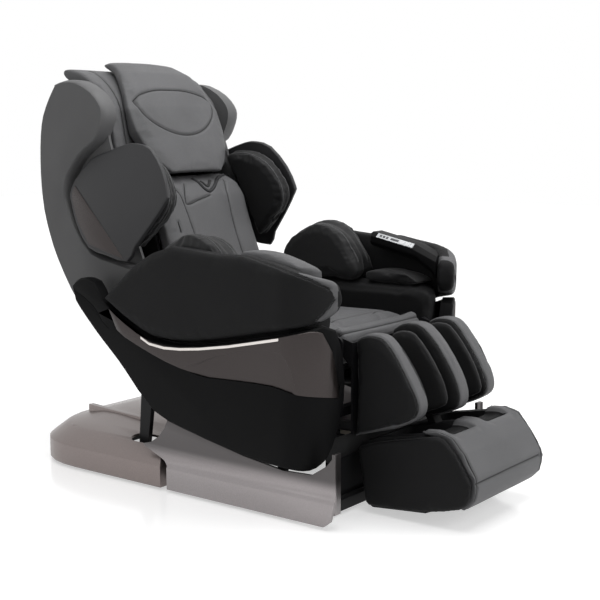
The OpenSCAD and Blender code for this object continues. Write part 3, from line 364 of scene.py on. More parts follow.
@dataclass(frozen=True)
class BareMetal:
    """Drawn or brushed metal with fine lines along one axis."""

    name: str
    colour: Colour
    roughness: float = 0.28
    along: int = 1

    def make(self) -> bpy.types.Material:
        """Returns the metal as a material."""
        board = Board(self.name)
        stretch = [1600.0, 1600.0, 1600.0]
        stretch[self.along] = 14.0
        where = board.add(
            "ShaderNodeMapping", None, {"Vector": board.place(), "Scale": tuple(stretch)}
        )
        lines = board.noise(1.0, 3.0, where)
        smear = board.noise(30.0, 3.0).step(0.35, 0.8)
        return board.surface(
            Base_Color=board.blend(lines, scaled(self.colour, 0.82), scaled(self.colour, 1.1)),
            Metallic=1.0,
            Roughness=lines * 0.12 + smear * 0.06 + self.roughness,
            Normal=board.bump(lines, 0.00003),
        )


class Finish(Enum):
    """The finishes of the chair, each made once."""

    # One charcoal leather in two copies: this lighter one is painted light for lit tops and fronts; the much darker one
    # below is painted shade for sides, inward faces and the foot wells.
    TOP_LEATHER = Leather("charcoal leather", (0.109, 0.109, 0.113), roughness=0.5, specular=0.4)
    SIDE_LEATHER = Leather("black leather", (0.008, 0.008, 0.0085), roughness=0.55, specular=0.14)
    BAG_CLOTH = AirbagCloth("airbag cloth", (0.0035, 0.0035, 0.004))
    STRAP = Leather("pillow strap", (0.03, 0.03, 0.032), roughness=0.5, specular=0.25)
    PIPING = Leather("grey piping", (0.055, 0.055, 0.058), roughness=0.4, pebble=900.0)
    THREAD = AirbagCloth("dark thread", (0.006, 0.006, 0.0065), threads=3000.0)
    SHELL = Moulded("black moulding", (0.0035, 0.0035, 0.0038), roughness=0.45, specular=0.08)
    COVER = Moulded("dark grey cover", (0.12, 0.12, 0.122), roughness=0.42, specular=0.3)
    WING = Moulded("wing cover", (0.032, 0.032, 0.034), roughness=0.4, specular=0.35)
    BRONZE = MetallicPaint("bronze paint", (0.215, 0.182, 0.174), roughness=0.34)
    # The skirt's bronze, lighter than the cover's as painted light, and darkened above 0.135 m as painted shade on its
    # upper band.
    SKIRT = MetallicPaint("two-tone skirt paint", (0.28, 0.258, 0.26), roughness=0.3, painted_shade_above=(0.1, 0.135))
    # Painted shade: the bronze of the side trims and wing inlays, made dark to stand for the dark reflections on their
    # faces.
    TRIM = MetallicPaint("dark bronze paint", (0.04, 0.033, 0.032), roughness=0.26)
    BRIGHT = BareMetal("bright trim", (0.74, 0.7, 0.67), roughness=0.22)
    FRAME = Moulded("frame paint", (0.008, 0.008, 0.009), roughness=0.45, specular=0.2, grain=0.00003)
    STEEL = BareMetal("bare steel", (0.55, 0.55, 0.57))
    HOUSING = Moulded("housing plastic", (0.007, 0.007, 0.0075), roughness=0.6, specular=0.15)
    ROLLER = Moulded("roller plastic", (0.55, 0.5, 0.42), roughness=0.4)
    RUBBER = Moulded("black rubber", (0.012, 0.012, 0.012), roughness=0.75, specular=0.3)
    DISPLAY = Moulded("display face", (0.62, 0.64, 0.66), roughness=0.18, coat=0.6, grain=0.00001)
    KEY = Moulded("key cap", (0.78, 0.79, 0.8), roughness=0.3, coat=0.3, grain=0.00001)
    MARK = Moulded("printed mark", (0.03, 0.03, 0.035), roughness=0.35, grain=0.00001)


_made: Dict[Finish, bpy.types.Material] = {}


def finish(kind: Finish) -> bpy.types.Material:
    """The material of a finish, made on first use."""
    if kind not in _made:
        _made[kind] = kind.value.make()
    return _made[kind]


# ---------------------------------------------------------------- mesh helpers


def deselect() -> None:
    """Leaves no object selected."""
    for thing in bpy.context.selected_objects:
        thing.select_set(False)


def take(thing: bpy.types.Object) -> bpy.types.Object:
    """Makes one object the only selected and active one."""
    deselect()
    thing.select_set(True)
    bpy.context.view_layer.objects.active = thing
    return thing


def dress(thing: bpy.types.Object, kind: Finish) -> bpy.types.Object:
    """Gives an object one finish all over."""
    thing.data.materials.clear()
    thing.data.materials.append(finish(kind))
    return thing


def points_of(thing: bpy.types.Object) -> np.ndarray:
    """The object's vertices as an array of n by 3."""
    data = np.empty(len(thing.data.vertices) * 3, np.float64)
    thing.data.vertices.foreach_get("co", data)
    return data.reshape(-1, 3)


def move_points(thing: bpy.types.Object, places: np.ndarray) -> None:
    """Puts the object's vertices at new places."""
    thing.data.vertices.foreach_set("co", places.astype(np.float32).ravel())
    thing.data.update()


def normals_of(thing: bpy.types.Object) -> np.ndarray:
    """The object's vertex normals as an array of n by 3."""
    data = np.empty(len(thing.data.vertices) * 3, np.float32)
    thing.data.vertex_normals.foreach_get("vector", data)
    return data.reshape(-1, 3).astype(np.float64)


def copy_of_node(node: str, name: str) -> bpy.types.Object:
    """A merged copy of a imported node's mesh, as a new object at the origin."""
    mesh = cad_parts[node].data.copy()
    mesh.materials.clear()
    thing = bpy.data.objects.new(name, mesh)
    bpy.context.scene.collection.objects.link(thing)
    take(thing)
    bpy.ops.object.mode_set(mode="EDIT")
    bpy.ops.mesh.select_all(action="SELECT")
    bpy.ops.mesh.remove_doubles(threshold=0.00002)
    bpy.ops.object.mode_set(mode="OBJECT")
    if mesh.has_custom_normals:
        bpy.ops.mesh.customdata_custom_splitnormals_clear()
    return thing


def mirrored(thing: bpy.types.Object, name: str) -> bpy.types.Object:
    """The same piece for the other side, with its own mesh and its faces turned outwards."""
    mesh = thing.data.copy()
    mesh.transform(Matrix.Scale(-1.0, 4, (1.0, 0.0, 0.0)))
    mesh.flip_normals()
    twin = bpy.data.objects.new(name, mesh)
    bpy.context.scene.collection.objects.link(twin)
    return twin


def apply_all(thing: bpy.types.Object) -> None:
    """Applies every modifier of the object in order."""
    take(thing)
    for modifier in list(thing.modifiers):
        bpy.ops.object.modifier_apply(modifier=modifier.name)


def settle(thing: bpy.types.Object, body: str, slot: str, *nodes: str) -> None:
    """Ties a finished piece to its body and hides the nodes that it stands for."""
    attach(thing, body)
    if nodes:
        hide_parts(*nodes)
    log.info("%s rides on %s", thing.name, body)


def tree_of(thing: bpy.types.Object) -> BVHTree:
    """A search tree over the object's faces."""
    return BVHTree.FromPolygons(
        [v.co for v in thing.data.vertices], [tuple(p.vertices) for p in thing.data.polygons]
    )


def smooth_line(points: Sequence[Point], step: float = 0.004) -> np.ndarray:
    """A smooth line through points.

    Args:
        points: the points that it passes.
        step: the distance between the new points.

    Returns:
        The new points, as an array of n by 3.
    """
    rough = np.array(points, float)
    if len(rough) == 2:
        count = max(2, int(np.linalg.norm(rough[1] - rough[0]) / step))
        return np.array([rough[0] + (rough[1] - rough[0]) * i / count for i in range(count + 1)])
    out: List[np.ndarray] = []
    last = len(rough) - 1
    for i in range(last):
        a, b, c, d = rough[max(i - 1, 0)], rough[i], rough[i + 1], rough[min(i + 2, last)]
        count = max(1, int(np.linalg.norm(c - b) / step))
        for k in range(count):
            t = k / count
            out.append(
                0.5
                * (2 * b + (c - a) * t + (2 * a - 5 * b + 4 * c - d) * t**2 + (3 * b - a - 3 * c + d) * t**3)
            )
    out.append(rough[-1])
    return np.array(out)


def laid_on(tree: BVHTree, line: np.ndarray, towards: Point) -> Tuple[np.ndarray, np.ndarray]:
    """Drops a line onto a surface.

    Args:
        tree: the surface.
        line: the points of the line.
        towards: the direction in which they fall; they start 0.2 m before their place.

    Returns:
        The points on the surface and the surface's normals there.
    """
    way = Vector(towards).normalized()
    spots, outs = [], []
    for p in line:
        start = Vector(p) - way * 0.2
        hit, normal, _, _ = tree.ray_cast(start, way, 0.4)
        if hit is None:
            hit, normal, _, _ = tree.find_nearest(Vector(p))
        spots.append(tuple(hit))
        outs.append(tuple(normal))
    return np.array(spots), np.array(outs)


def tube(name: str, lines: Iterable[np.ndarray], radius: float) -> bpy.types.Object:
    """Round cords along lines, as one mesh.

    Args:
        name: the new object's name.
        lines: arrays of points.
        radius: the cord's radius.

    Returns:
        The new object.
    """
    curve = bpy.data.curves.new(name, "CURVE")
    curve.dimensions = "3D"
    curve.bevel_depth = radius
    curve.bevel_resolution = 2
    curve.use_fill_caps = True
    for line in lines:
        spline = curve.splines.new("POLY")
        spline.points.add(len(line) - 1)
        spline.points.foreach_set("co", np.c_[line, np.ones(len(line))].ravel())
    thing = bpy.data.objects.new(name, curve)
    bpy.context.scene.collection.objects.link(thing)
    take(thing)
    bpy.ops.object.convert(target="MESH")
    bpy.ops.object.shade_smooth()
    return thing


STITCH_RADIUS = 0.00045
# Height of a stitch's two ends and its middle above the leather
STITCH_ARCH = np.array([[-0.0004], [0.0003], [-0.0004]])


def stitches(
    name: str, lines: Iterable[Tuple[np.ndarray, np.ndarray]], length: float = 0.0042, gap: float = 0.0022
) -> bpy.types.Object:
    """Short threads laid end to end along lines, as one mesh.

    Args:
        name: the new object's name.
        lines: pairs of points and the surface normals there.
        length: one stitch.
        gap: the space to the next one.

    Returns:
        The new object.
    """
    runs: List[np.ndarray] = []
    for spots, outs in lines:
        lengths = np.r_[0.0, np.cumsum(np.linalg.norm(np.diff(spots, axis=0), axis=1))]
        at = 0.0
        while at + length < lengths[-1]:
            t = np.linspace(at, at + length, 3)
            run = np.stack([np.interp(t, lengths, spots[:, i]) for i in range(3)], 1)
            up = np.stack([np.interp(t, lengths, outs[:, i]) for i in range(3)], 1)
            runs.append(run + up * STITCH_ARCH)
            at += length + gap
    curve = bpy.data.curves.new(name, "CURVE")
    curve.dimensions = "3D"
    curve.bevel_depth = STITCH_RADIUS
    curve.bevel_resolution = 0
    for run in runs:
        spline = curve.splines.new("POLY")
        spline.points.add(len(run) - 1)
        spline.points.foreach_set("co", np.c_[run, np.ones(len(run))].ravel())
    thing = bpy.data.objects.new(name, curve)
    bpy.context.scene.collection.objects.link(thing)
    take(thing)
    bpy.ops.object.convert(target="MESH")
    return thing


# ---------------------------------------------------------------- padded pieces

# How far a filled pad may stand out of its packed box
MOST_BULGE = 0.0035
# Distance of each row of stitches from its seam
STITCH_ASIDE = 0.0065


@dataclass
class Seam:
    """A sewn line on a padded piece.

    The points are near the surface; they drop onto it in the direction towards.
    """

    points: Sequence[Point]
    towards: Point
    depth: float = 0.004
    width: float = 0.005
    cord: float = 0.0015
    cord_finish: Finish = Finish.THREAD
    raised: float = -0.0002
    stitched: bool = False
    still: bool = False

    def flipped(self) -> "Seam":
        """The same seam on the other side of the chair."""
        return Seam(
            [(-x, y, z) for x, y, z in self.points],
            (-self.towards[0], self.towards[1], self.towards[2]),
            self.depth,
            self.width,
            self.cord,
            self.cord_finish,
            self.raised,
            self.stitched,
            self.still,
        )


@dataclass
class Rim:
    """A sewn line or a piping right round a slab-like pad, at one distance across the chair."""

    across: float
    depth: float = 0.003
    width: float = 0.0045
    cord: float = 0.0013
    cord_finish: Finish = Finish.THREAD
    raised: float = -0.0002
    stitched: bool = False
    lean: float = 0.0
    centre: Optional[Tuple[float, float]] = None
    arc: Tuple[float, float] = (0.0, 360.0)

    def seam(self, tree: BVHTree, low: np.ndarray, high: np.ndarray) -> Seam:
        """The rim as a seam that already lies on the pad.

        Args:
            tree: the pad's surface.
            low: the lower corner of the pad's box.
            high: the upper corner of the pad's box.

        Returns:
            The seam, run back to its start unless the rim covers only an arc.
        """
        cy, cz = self.centre or ((low[1] + high[1]) / 2.0, (low[2] + high[2]) / 2.0)
        whole = self.arc == (0.0, 360.0)
        spots: List[Point] = []
        for angle in np.linspace(*np.radians(self.arc), 220, endpoint=not whole):
            out = Vector((-math.sin(self.lean) * math.sin(angle), math.cos(angle), math.sin(angle)))
            start = Vector((self.across, cy, cz)) + out * 0.9
            hit, _, _, _ = tree.ray_cast(start, -out, 0.9)
            if hit is not None:
                spots.append(tuple(hit))
        if whole and spots:
            spots.append(spots[0])
        return Seam(
            spots, (0.0, 0.0, -1.0), self.depth, self.width, self.cord, self.cord_finish, self.raised,
            self.stitched, True,
        )


@dataclass
class Pad:
    """A stuffed piece that stands for one packed soft node."""

    node: str
    body: str
    slot: str
    finish: Finish
    voxel: float = 0.007
    shrink: float = 0.0025
    pressure: float = 4.0
    cap: float = 0.006
    fill: float = 0.7
    levels: int = 1
    seams: List[Seam] = field(default_factory=list)
    rims: List[Rim] = field(default_factory=list)
    # A second copy of the pad's leather on the faces that the test picks: lighter as painted light, darker as painted
    # shade.
    side_finish: Optional[Finish] = None
    side_test: Optional[Callable[[np.ndarray, np.ndarray], np.ndarray]] = None
    shape: Optional[Callable[[np.ndarray], np.ndarray]] = None
    twin: Optional[str] = None
    thing: Optional[bpy.types.Object] = None
    start: Optional[np.ndarray] = None

    def cut(self) -> None:
        """Makes the pad's closed skin, a little smaller than its final size, ready to be filled."""
        name = self.node + "_pad"
        thing = copy_of_node(self.node, name)
        remesh = thing.modifiers.new("skin", "REMESH")
        remesh.mode = "VOXEL"
        remesh.voxel_size = self.voxel
        apply_all(thing)
        relax = thing.modifiers.new("relax", "SMOOTH")
        relax.factor = 0.5
        relax.iterations = 3
        apply_all(thing)
        places = points_of(thing) - normals_of(thing) * self.shrink
        if self.shape is not None:
            places = self.shape(places)
        move_points(thing, places)
        self.start = places
        self.thing = thing
        cloth = thing.modifiers.new("filling", "CLOTH")
        cloth.settings.quality = 4
        cloth.settings.mass = 0.3
        cloth.settings.tension_stiffness = 15.0
        cloth.settings.compression_stiffness = 15.0
        cloth.settings.bending_stiffness = 1.5
        cloth.settings.use_pressure = True
        cloth.settings.uniform_pressure_force = self.pressure
        cloth.settings.effector_weights.gravity = 0.0
        cloth.collision_settings.use_collision = False
        cloth.point_cache.frame_start = 1
        cloth.point_cache.frame_end = 20

    def fill_up(self, filled: Optional[np.ndarray]) -> None:
        """Gives the pad its stuffed shape.

        Args:
            filled: where the simulation put the points, or None without one.
        """
        thing, start = self.thing, self.start
        if filled is None:
            places = start + normals_of(thing) * self.shrink
        else:
            move = filled - start
            size = np.linalg.norm(move, axis=1, keepdims=True)
            places = start + move * np.minimum(1.0, self.cap / np.maximum(size, 1e-9))
        low, high = (np.array(c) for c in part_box(self.node))
        places = np.clip(places, low - MOST_BULGE, high + MOST_BULGE)
        move_points(thing, places)
        thing.modifiers.clear()
        fine = thing.modifiers.new("fine", "SUBSURF")
        fine.levels = fine.render_levels = self.levels
        apply_all(thing)
        bpy.ops.object.shade_smooth()

    def sew(self) -> None:
        """Presses the seams into the pad, adds their cords and stitches, and ties all to the body."""
        thing = self.thing
        tree, places = tree_of(thing), points_of(thing)
        rims = [rim.seam(tree, places.min(0), places.max(0)) for rim in self.rims]
        seam_cords = self._press(thing, self.seams + rims)
        self._dress(thing)
        settle(thing, self.body, self.slot, self.node)
        for cord in seam_cords:
            settle(cord, self.body, self.slot)
        if self.twin is not None:
            other = mirrored(thing, self.twin + "_pad")
            settle(other, self.body, self.slot, self.twin)
            for cord in seam_cords:
                settle(mirrored(cord, cord.name.replace(self.node, self.twin)), self.body, self.slot)

    def _press(self, thing: bpy.types.Object, seams: Sequence[Seam]) -> List[bpy.types.Object]:
        """Sinks the surface along seams and returns the cords and stitches laid in them."""
        pressed = np.zeros(len(thing.data.vertices))
        made: List[bpy.types.Object] = []
        if seams:
            tree = tree_of(thing)
            places, outs = points_of(thing), normals_of(thing)
            push = np.zeros(len(places))
            laid = []
            for seam in seams:
                spots, ups = self._lay(tree, seam, smooth_line(seam.points))
                laid.append((seam, spots, ups))
                near = np.full(len(places), 1e9)
                low, high = spots.min(0) - seam.width * 3, spots.max(0) + seam.width * 3
                inside = np.where(((places > low) & (places < high)).all(1))[0]
                for k in range(0, len(spots), 64):
                    gap = np.linalg.norm(places[inside, None] - spots[None, k : k + 64], axis=2).min(1)
                    near[inside] = np.minimum(near[inside], gap)
                fall = np.exp(-((near / seam.width) ** 2))
                push = np.maximum(push, fall * seam.depth)
                pressed = np.maximum(pressed, np.exp(-((near / (seam.width * 0.55)) ** 2)))
            move_points(thing, places - outs * push[:, None])
            groups: Dict[Tuple[Finish, float], List[np.ndarray]] = {}
            sewn: List[Tuple[np.ndarray, np.ndarray]] = []
            tree = tree_of(thing)
            for seam, spots, ups in laid:
                spots, ups = self._lay(tree, seam, spots)
                if seam.cord > 0:
                    key = (seam.cord_finish, seam.cord)
                    groups.setdefault(key, []).append(spots + ups * seam.raised)
                if seam.stitched:
                    along = np.gradient(spots, axis=0)
                    along /= np.maximum(np.linalg.norm(along, axis=1, keepdims=True), 1e-9)
                    aside = np.cross(ups, along)
                    for side in (-1.0, 1.0):
                        sewn.append(self._lay(tree, seam, spots + aside * side * STITCH_ASIDE))
            for number, ((kind, radius), lines) in enumerate(groups.items()):
                made.append(dress(tube(f"{self.node}_cord{number}", lines, radius), kind))
            if sewn:
                made.append(dress(stitches(self.node + "_stitches", sewn), Finish.PIPING))
        layer = thing.data.attributes.new("seam", "FLOAT", "POINT")
        layer.data.foreach_set("value", pressed.astype(np.float32))
        return made

    @staticmethod
    def _lay(tree: BVHTree, seam: Seam, line: np.ndarray) -> Tuple[np.ndarray, np.ndarray]:
        """Lays a seam's line on the surface: by falling, or at the nearest place for one that lies there."""
        if not seam.still:
            return laid_on(tree, line, seam.towards)
        found = [tree.find_nearest(Vector(p)) for p in line]
        return np.array([tuple(f[0]) for f in found]), np.array([tuple(f[1]) for f in found])

    def _dress(self, thing: bpy.types.Object) -> None:
        """Gives the pad its leather or cloth, and on the faces that its test picks a second copy of the leather,
        lighter as painted light or darker as painted shade.
        """
        dress(thing, self.finish)
        if self.side_finish is None or self.side_test is None:
            return
        thing.data.materials.append(finish(self.side_finish))
        count = len(thing.data.polygons)
        centres, outs = np.empty(count * 3, np.float32), np.empty(count * 3, np.float32)
        thing.data.polygons.foreach_get("center", centres)
        thing.data.polygons.foreach_get("normal", outs)
        mask = self.side_test(centres.reshape(-1, 3), outs.reshape(-1, 3))
        thing.data.polygons.foreach_set("material_index", mask.astype(np.int32))


@dataclass
class Upholstery:
    """All padded pieces, filled together in one run of the cloth solver."""

    pads: List[Pad]
    frames: int = 18

    def build(self) -> None:
        """Cuts, fills and sews every pad."""
        for pad in self.pads:
            pad.cut()
        filled: Dict[str, Optional[np.ndarray]] = {pad.node: None for pad in self.pads}
        scene = bpy.context.scene
        for number in range(1, self.frames + 1):
            scene.frame_set(number)
        view = bpy.context.evaluated_depsgraph_get()
        for pad in self.pads:
            mesh = pad.thing.evaluated_get(view).data
            data = np.empty(len(mesh.vertices) * 3, np.float64)
            mesh.vertices.foreach_get("co", data)
            filled[pad.node] = data.reshape(-1, 3)
        for pad in self.pads:
            pad.thing.modifiers.clear()
        scene.frame_set(1)
        for pad in self.pads:
            pad.fill_up(filled[pad.node])
            pad.sew()
            log.info("%s is filled and sewn", pad.node)


# ---------------------------------------------------------------- moulded covers


@dataclass
class Cover:
    """A moulded cover shown as a rounded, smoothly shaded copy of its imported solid."""

    node: str
    body: str
    slot: str
    finish: Finish
    edge: float = 0.0025
    angle: float = 32.0
    segments: int = 2

    def build(self) -> bpy.types.Object:
        """Rounds the cover's edges and ties it to its body."""
        thing = copy_of_node(self.node, self.node + "_cover")
        bpy.ops.object.mode_set(mode="EDIT")
        bpy.ops.mesh.select_all(action="SELECT")
        bpy.ops.mesh.dissolve_limited(angle_limit=math.radians(0.6))
        bpy.ops.object.mode_set(mode="OBJECT")
        if self.edge > 0:
            bevel = thing.modifiers.new("edge", "BEVEL")
            bevel.width = self.edge
            bevel.segments = self.segments
            bevel.limit_method = "ANGLE"
            bevel.angle_limit = math.radians(self.angle)
            bevel.use_clamp_overlap = True
            bevel.harden_normals = False
            apply_all(thing)
        take(thing)
        bpy.ops.object.shade_smooth_by_angle(angle=math.radians(self.angle + 6.0))
        dress(thing, self.finish)
        settle(thing, self.body, self.slot, self.node)
        return thing


# ---------------------------------------------------------------- sub-assemblies


def both(seam: Seam) -> List[Seam]:
    """A seam and its mirror image on the same piece."""
    return [seam, seam.flipped()]


# The long seam of the left arm pad, from the back to the front corner, and its run down the front
ARM_SEAM: Tuple[Point, ...] = (
    (0.386, 0.28, 0.645), (0.386, 0.2, 0.696), (0.386, 0.1, 0.726), (0.386, 0.0, 0.72), (0.387, -0.1, 0.716),
    (0.39, -0.16, 0.715), (0.402, -0.251, 0.699), (0.403, -0.317, 0.682), (0.378, -0.364, 0.66), (0.33, -0.395, 0.631),
)
ARM_FRONT_SEAM: Tuple[Point, ...] = (
    (0.33, -0.395, 0.631), (0.313, -0.401, 0.6), (0.342, -0.389, 0.568), (0.365, -0.374, 0.543),
)


def arm_faces_painted_lit(centres: np.ndarray, outs: np.ndarray) -> np.ndarray:
    """True for an arm pad's top, inside its long seam, and for the strip down its turned front; these take the lit copy
    of the leather as painted light, and all other faces, the ones turned inwards too, take the dark copy as painted
    shade.
    """
    x, y, z = np.abs(centres[:, 0]), centres[:, 1], centres[:, 2]
    ys, zs = zip(*[(p[1], p[2]) for p in reversed(ARM_SEAM)])
    # Faces turned in towards the seat are left out here, so that they take the painted shade.
    outward = outs[:, 0] * np.sign(centres[:, 0]) > -0.5
    top = (z > np.interp(y, ys, zs) - 0.0015) & outward & (y < 0.29) & (x > np.where(y > -0.33, 0.0, 0.305))
    zs, xs = zip(*[(p[2], p[0]) for p in reversed(ARM_FRONT_SEAM)])
    return top | ((y < -0.33) & (x > 0.305) & (x < np.interp(z, zs, xs)) & (z > 0.545))


def faces_beside_strip_shaded(low: float, high: float) -> Callable[[np.ndarray, np.ndarray], np.ndarray]:
    """A test that is true for the faces beside the strip between two distances from the middle; these take the dark
    copy of the leather as painted shade, and the strip keeps the lit copy.
    """

    def test(centres: np.ndarray, _: np.ndarray) -> np.ndarray:
        x = np.abs(centres[:, 0])
        return (x < low) | (x > high)

    return test


# The foot wells in the foot cover: their middle, half their width, their front edge and their depth
WELL_MIDDLE, WELL_HALF, WELL_FRONT, WELL_DEPTH = 0.094, 0.06, -0.665, 0.02
# Height above which the foot cover's top begins
COVER_TOP = 0.2


def sunk_wells(places: np.ndarray) -> np.ndarray:
    """The foot cover's points, pressed down where the two foot wells open in its top."""
    x, y, z = np.abs(places[:, 0]), places[:, 1], places[:, 2]
    across = np.clip((WELL_HALF + 0.008 - np.abs(x - WELL_MIDDLE)) / 0.012, 0, 1)
    in_well = across * np.clip((y - WELL_FRONT + 0.007) / 0.02, 0, 1)
    out = places.copy()
    out[:, 2] = z - WELL_DEPTH * in_well * in_well * (3 - 2 * in_well) * (z > COVER_TOP)
    return out


def wells_painted_shade(centres: np.ndarray, _: np.ndarray) -> np.ndarray:
    """True for the faces of the foot cover's two wells, which take the dark copy of the leather as painted shade."""
    beside = np.abs(np.abs(centres[:, 0]) - WELL_MIDDLE)
    return (beside < WELL_HALF) & (centres[:, 1] > WELL_FRONT) & (centres[:, 2] > COVER_TOP)




@dataclass
class Base:
    """The floor base: rear cover, skirts, frames and wheels."""

    cover_edge: float = 0.004

    def build(self) -> None:
        """Builds and dresses the base."""
        Cover("rear_base_cover", "base", "bronze", Finish.BRONZE, self.cover_edge, 24.0, 3).build()
        for side in ("left", "right"):
            Cover("skirt_" + side, "chassis", "bronze", Finish.SKIRT, 0.0016, 28.0).build()
        Cover("transport_wheels", "wheels", "rubber", Finish.RUBBER, 0.002).build()
        for node in ("base_frame", "chassis_frame", "front_kick_panel"):
            dress(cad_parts[node], Finish.FRAME)
        dress(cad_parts["base_feet"], Finish.RUBBER)
        dress(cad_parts["glide_shoes"], Finish.ROLLER)
        self._liner()

    def _liner(self) -> None:
        """Hangs a thin black sheet across the space above the kick panel, so that this space shows dark."""
        deselect()
        bpy.ops.mesh.primitive_cube_add(size=1.0)
        dark_sheet = bpy.context.active_object
        dark_sheet.name = "kick_liner"
        low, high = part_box("front_kick_panel")
        dark_sheet.data.transform(
            Matrix.Translation((0.0, high[1] - 0.001, high[2] + 0.02))
            @ Matrix.Diagonal((high[0] - low[0], 0.002, 0.08, 1.0))
        )
        settle(dress(dark_sheet, Finish.BAG_CLOTH), "chassis", "airbag_cloth")


# The display's middle on the pod, how far its face stands above that, and the print on it
POD_FACE: Point = (0.296, -0.186, 0.7002)
DISPLAY_HEIGHT = 0.00338
PRINT_THICKNESS = 0.0002


@dataclass
class SeatBody:
    """The seat's covers, trims, arms and controller."""

    def build(self) -> None:
        """Builds and dresses the rigid pieces of the seat."""
        for side in ("left", "right"):
            Cover("side_shell_" + side, "seat", "shell_black", Finish.SHELL, 0.004, 26.0, 3).build()
            Cover("side_trim_" + side, "seat", "bronze", Finish.TRIM, 0.0012, 30.0).build()
        Cover("trim_rails", "seat", "bright_trim", Finish.BRIGHT, 0.0012).build()
        Cover("controller_pod", "seat", "shell_black", Finish.SHELL, 0.006, 26.0, 4).build()
        dress(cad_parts["pod_display"], Finish.DISPLAY)
        self._marks()
        dress(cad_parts["pod_key_a"], Finish.KEY)
        dress(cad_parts["pod_key_b"], Finish.KEY)
        for node in ("control_box", "recline_actuator", "legrest_actuator"):
            dress(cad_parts[node], Finish.HOUSING)
        for node in ("recline_rod", "legrest_rod"):
            dress(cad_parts[node], Finish.STEEL)
        dress(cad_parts["seat_frame"], Finish.FRAME)

    def _marks(self) -> None:
        """Prints three dark icons and a bar on the display."""
        face = (
            Matrix.Translation(POD_FACE)
            @ Matrix.Rotation(math.radians(11.4), 4, "X")
            @ Matrix.Rotation(math.radians(-45.0), 4, "Y")
        )
        for number, (along, length) in enumerate(((0.046, 0.008), (0.034, 0.008), (0.022, 0.008), (-0.006, 0.03))):
            deselect()
            bpy.ops.mesh.primitive_cube_add(size=1.0)
            mark = bpy.context.active_object
            mark.name = f"display_mark{number}"
            mark.data.transform(
                face
                @ Matrix.Translation((0.0, along, DISPLAY_HEIGHT))
                @ Matrix.Diagonal((0.008, length, PRINT_THICKNESS, 1.0))
            )
            settle(dress(mark, Finish.MARK), "seat", "display")

    def pads(self) -> List[Pad]:
        """The padded pieces of the seat and the arms."""
        return [
            Pad(
                "seat_cushion", "seat", "leather", Finish.TOP_LEATHER, cap=0.008, fill=0.8,
                seams=[
                    Seam([(x / 100.0, -0.225 - 0.012 * (1 - (x / 24.0) ** 2), 0.5) for x in range(-24, 25, 4)], (0.0, 0.1, -1.0)),
                    *both(Seam([(0.2, y / 100.0, 0.5) for y in range(-22, 19, 5)], (0.0, 0.0, -1.0))),
                ],
            ),
            Pad(
                "seat_apron", "seat", "leather", Finish.TOP_LEATHER, voxel=0.006, cap=0.005,
                seams=[
                    Seam([(x / 100.0, -0.33, 0.478) for x in range(-20, 21, 4)], (0.0, 0.8, -0.6)),
                    Seam([(x / 100.0, -0.35, 0.455) for x in range(-20, 21, 4)], (0.0, 1.0, -0.2)),
                ],
            ),
            Pad(
                "arm_pad_left", "seat", "leather", Finish.SIDE_LEATHER, twin="arm_pad_right",
                side_finish=Finish.TOP_LEATHER, side_test=arm_faces_painted_lit,
                seams=[
                    Seam(ARM_SEAM, (0.0, 0.0, -1.0), stitched=True, still=True),
                    Seam(ARM_FRONT_SEAM[1:], (0.0, 0.0, -1.0), stitched=True, still=True),
                ],
            ),
            Pad("arm_inner_pad_left", "seat", "leather", Finish.SIDE_LEATHER, twin="arm_inner_pad_right"),
            Pad("hand_airbags_left", "seat", "airbag_cloth", Finish.BAG_CLOTH, voxel=0.005, twin="hand_airbags_right",
                rims=[Rim(x, cord=0.0022, cord_finish=Finish.PIPING, raised=0.0008, centre=(0.03, 0.62), arc=(5.0, 175.0))
                      for x in (0.277, 0.331)]),
            Pad("arm_cap_right", "seat", "leather", Finish.TOP_LEATHER, voxel=0.006),
        ]


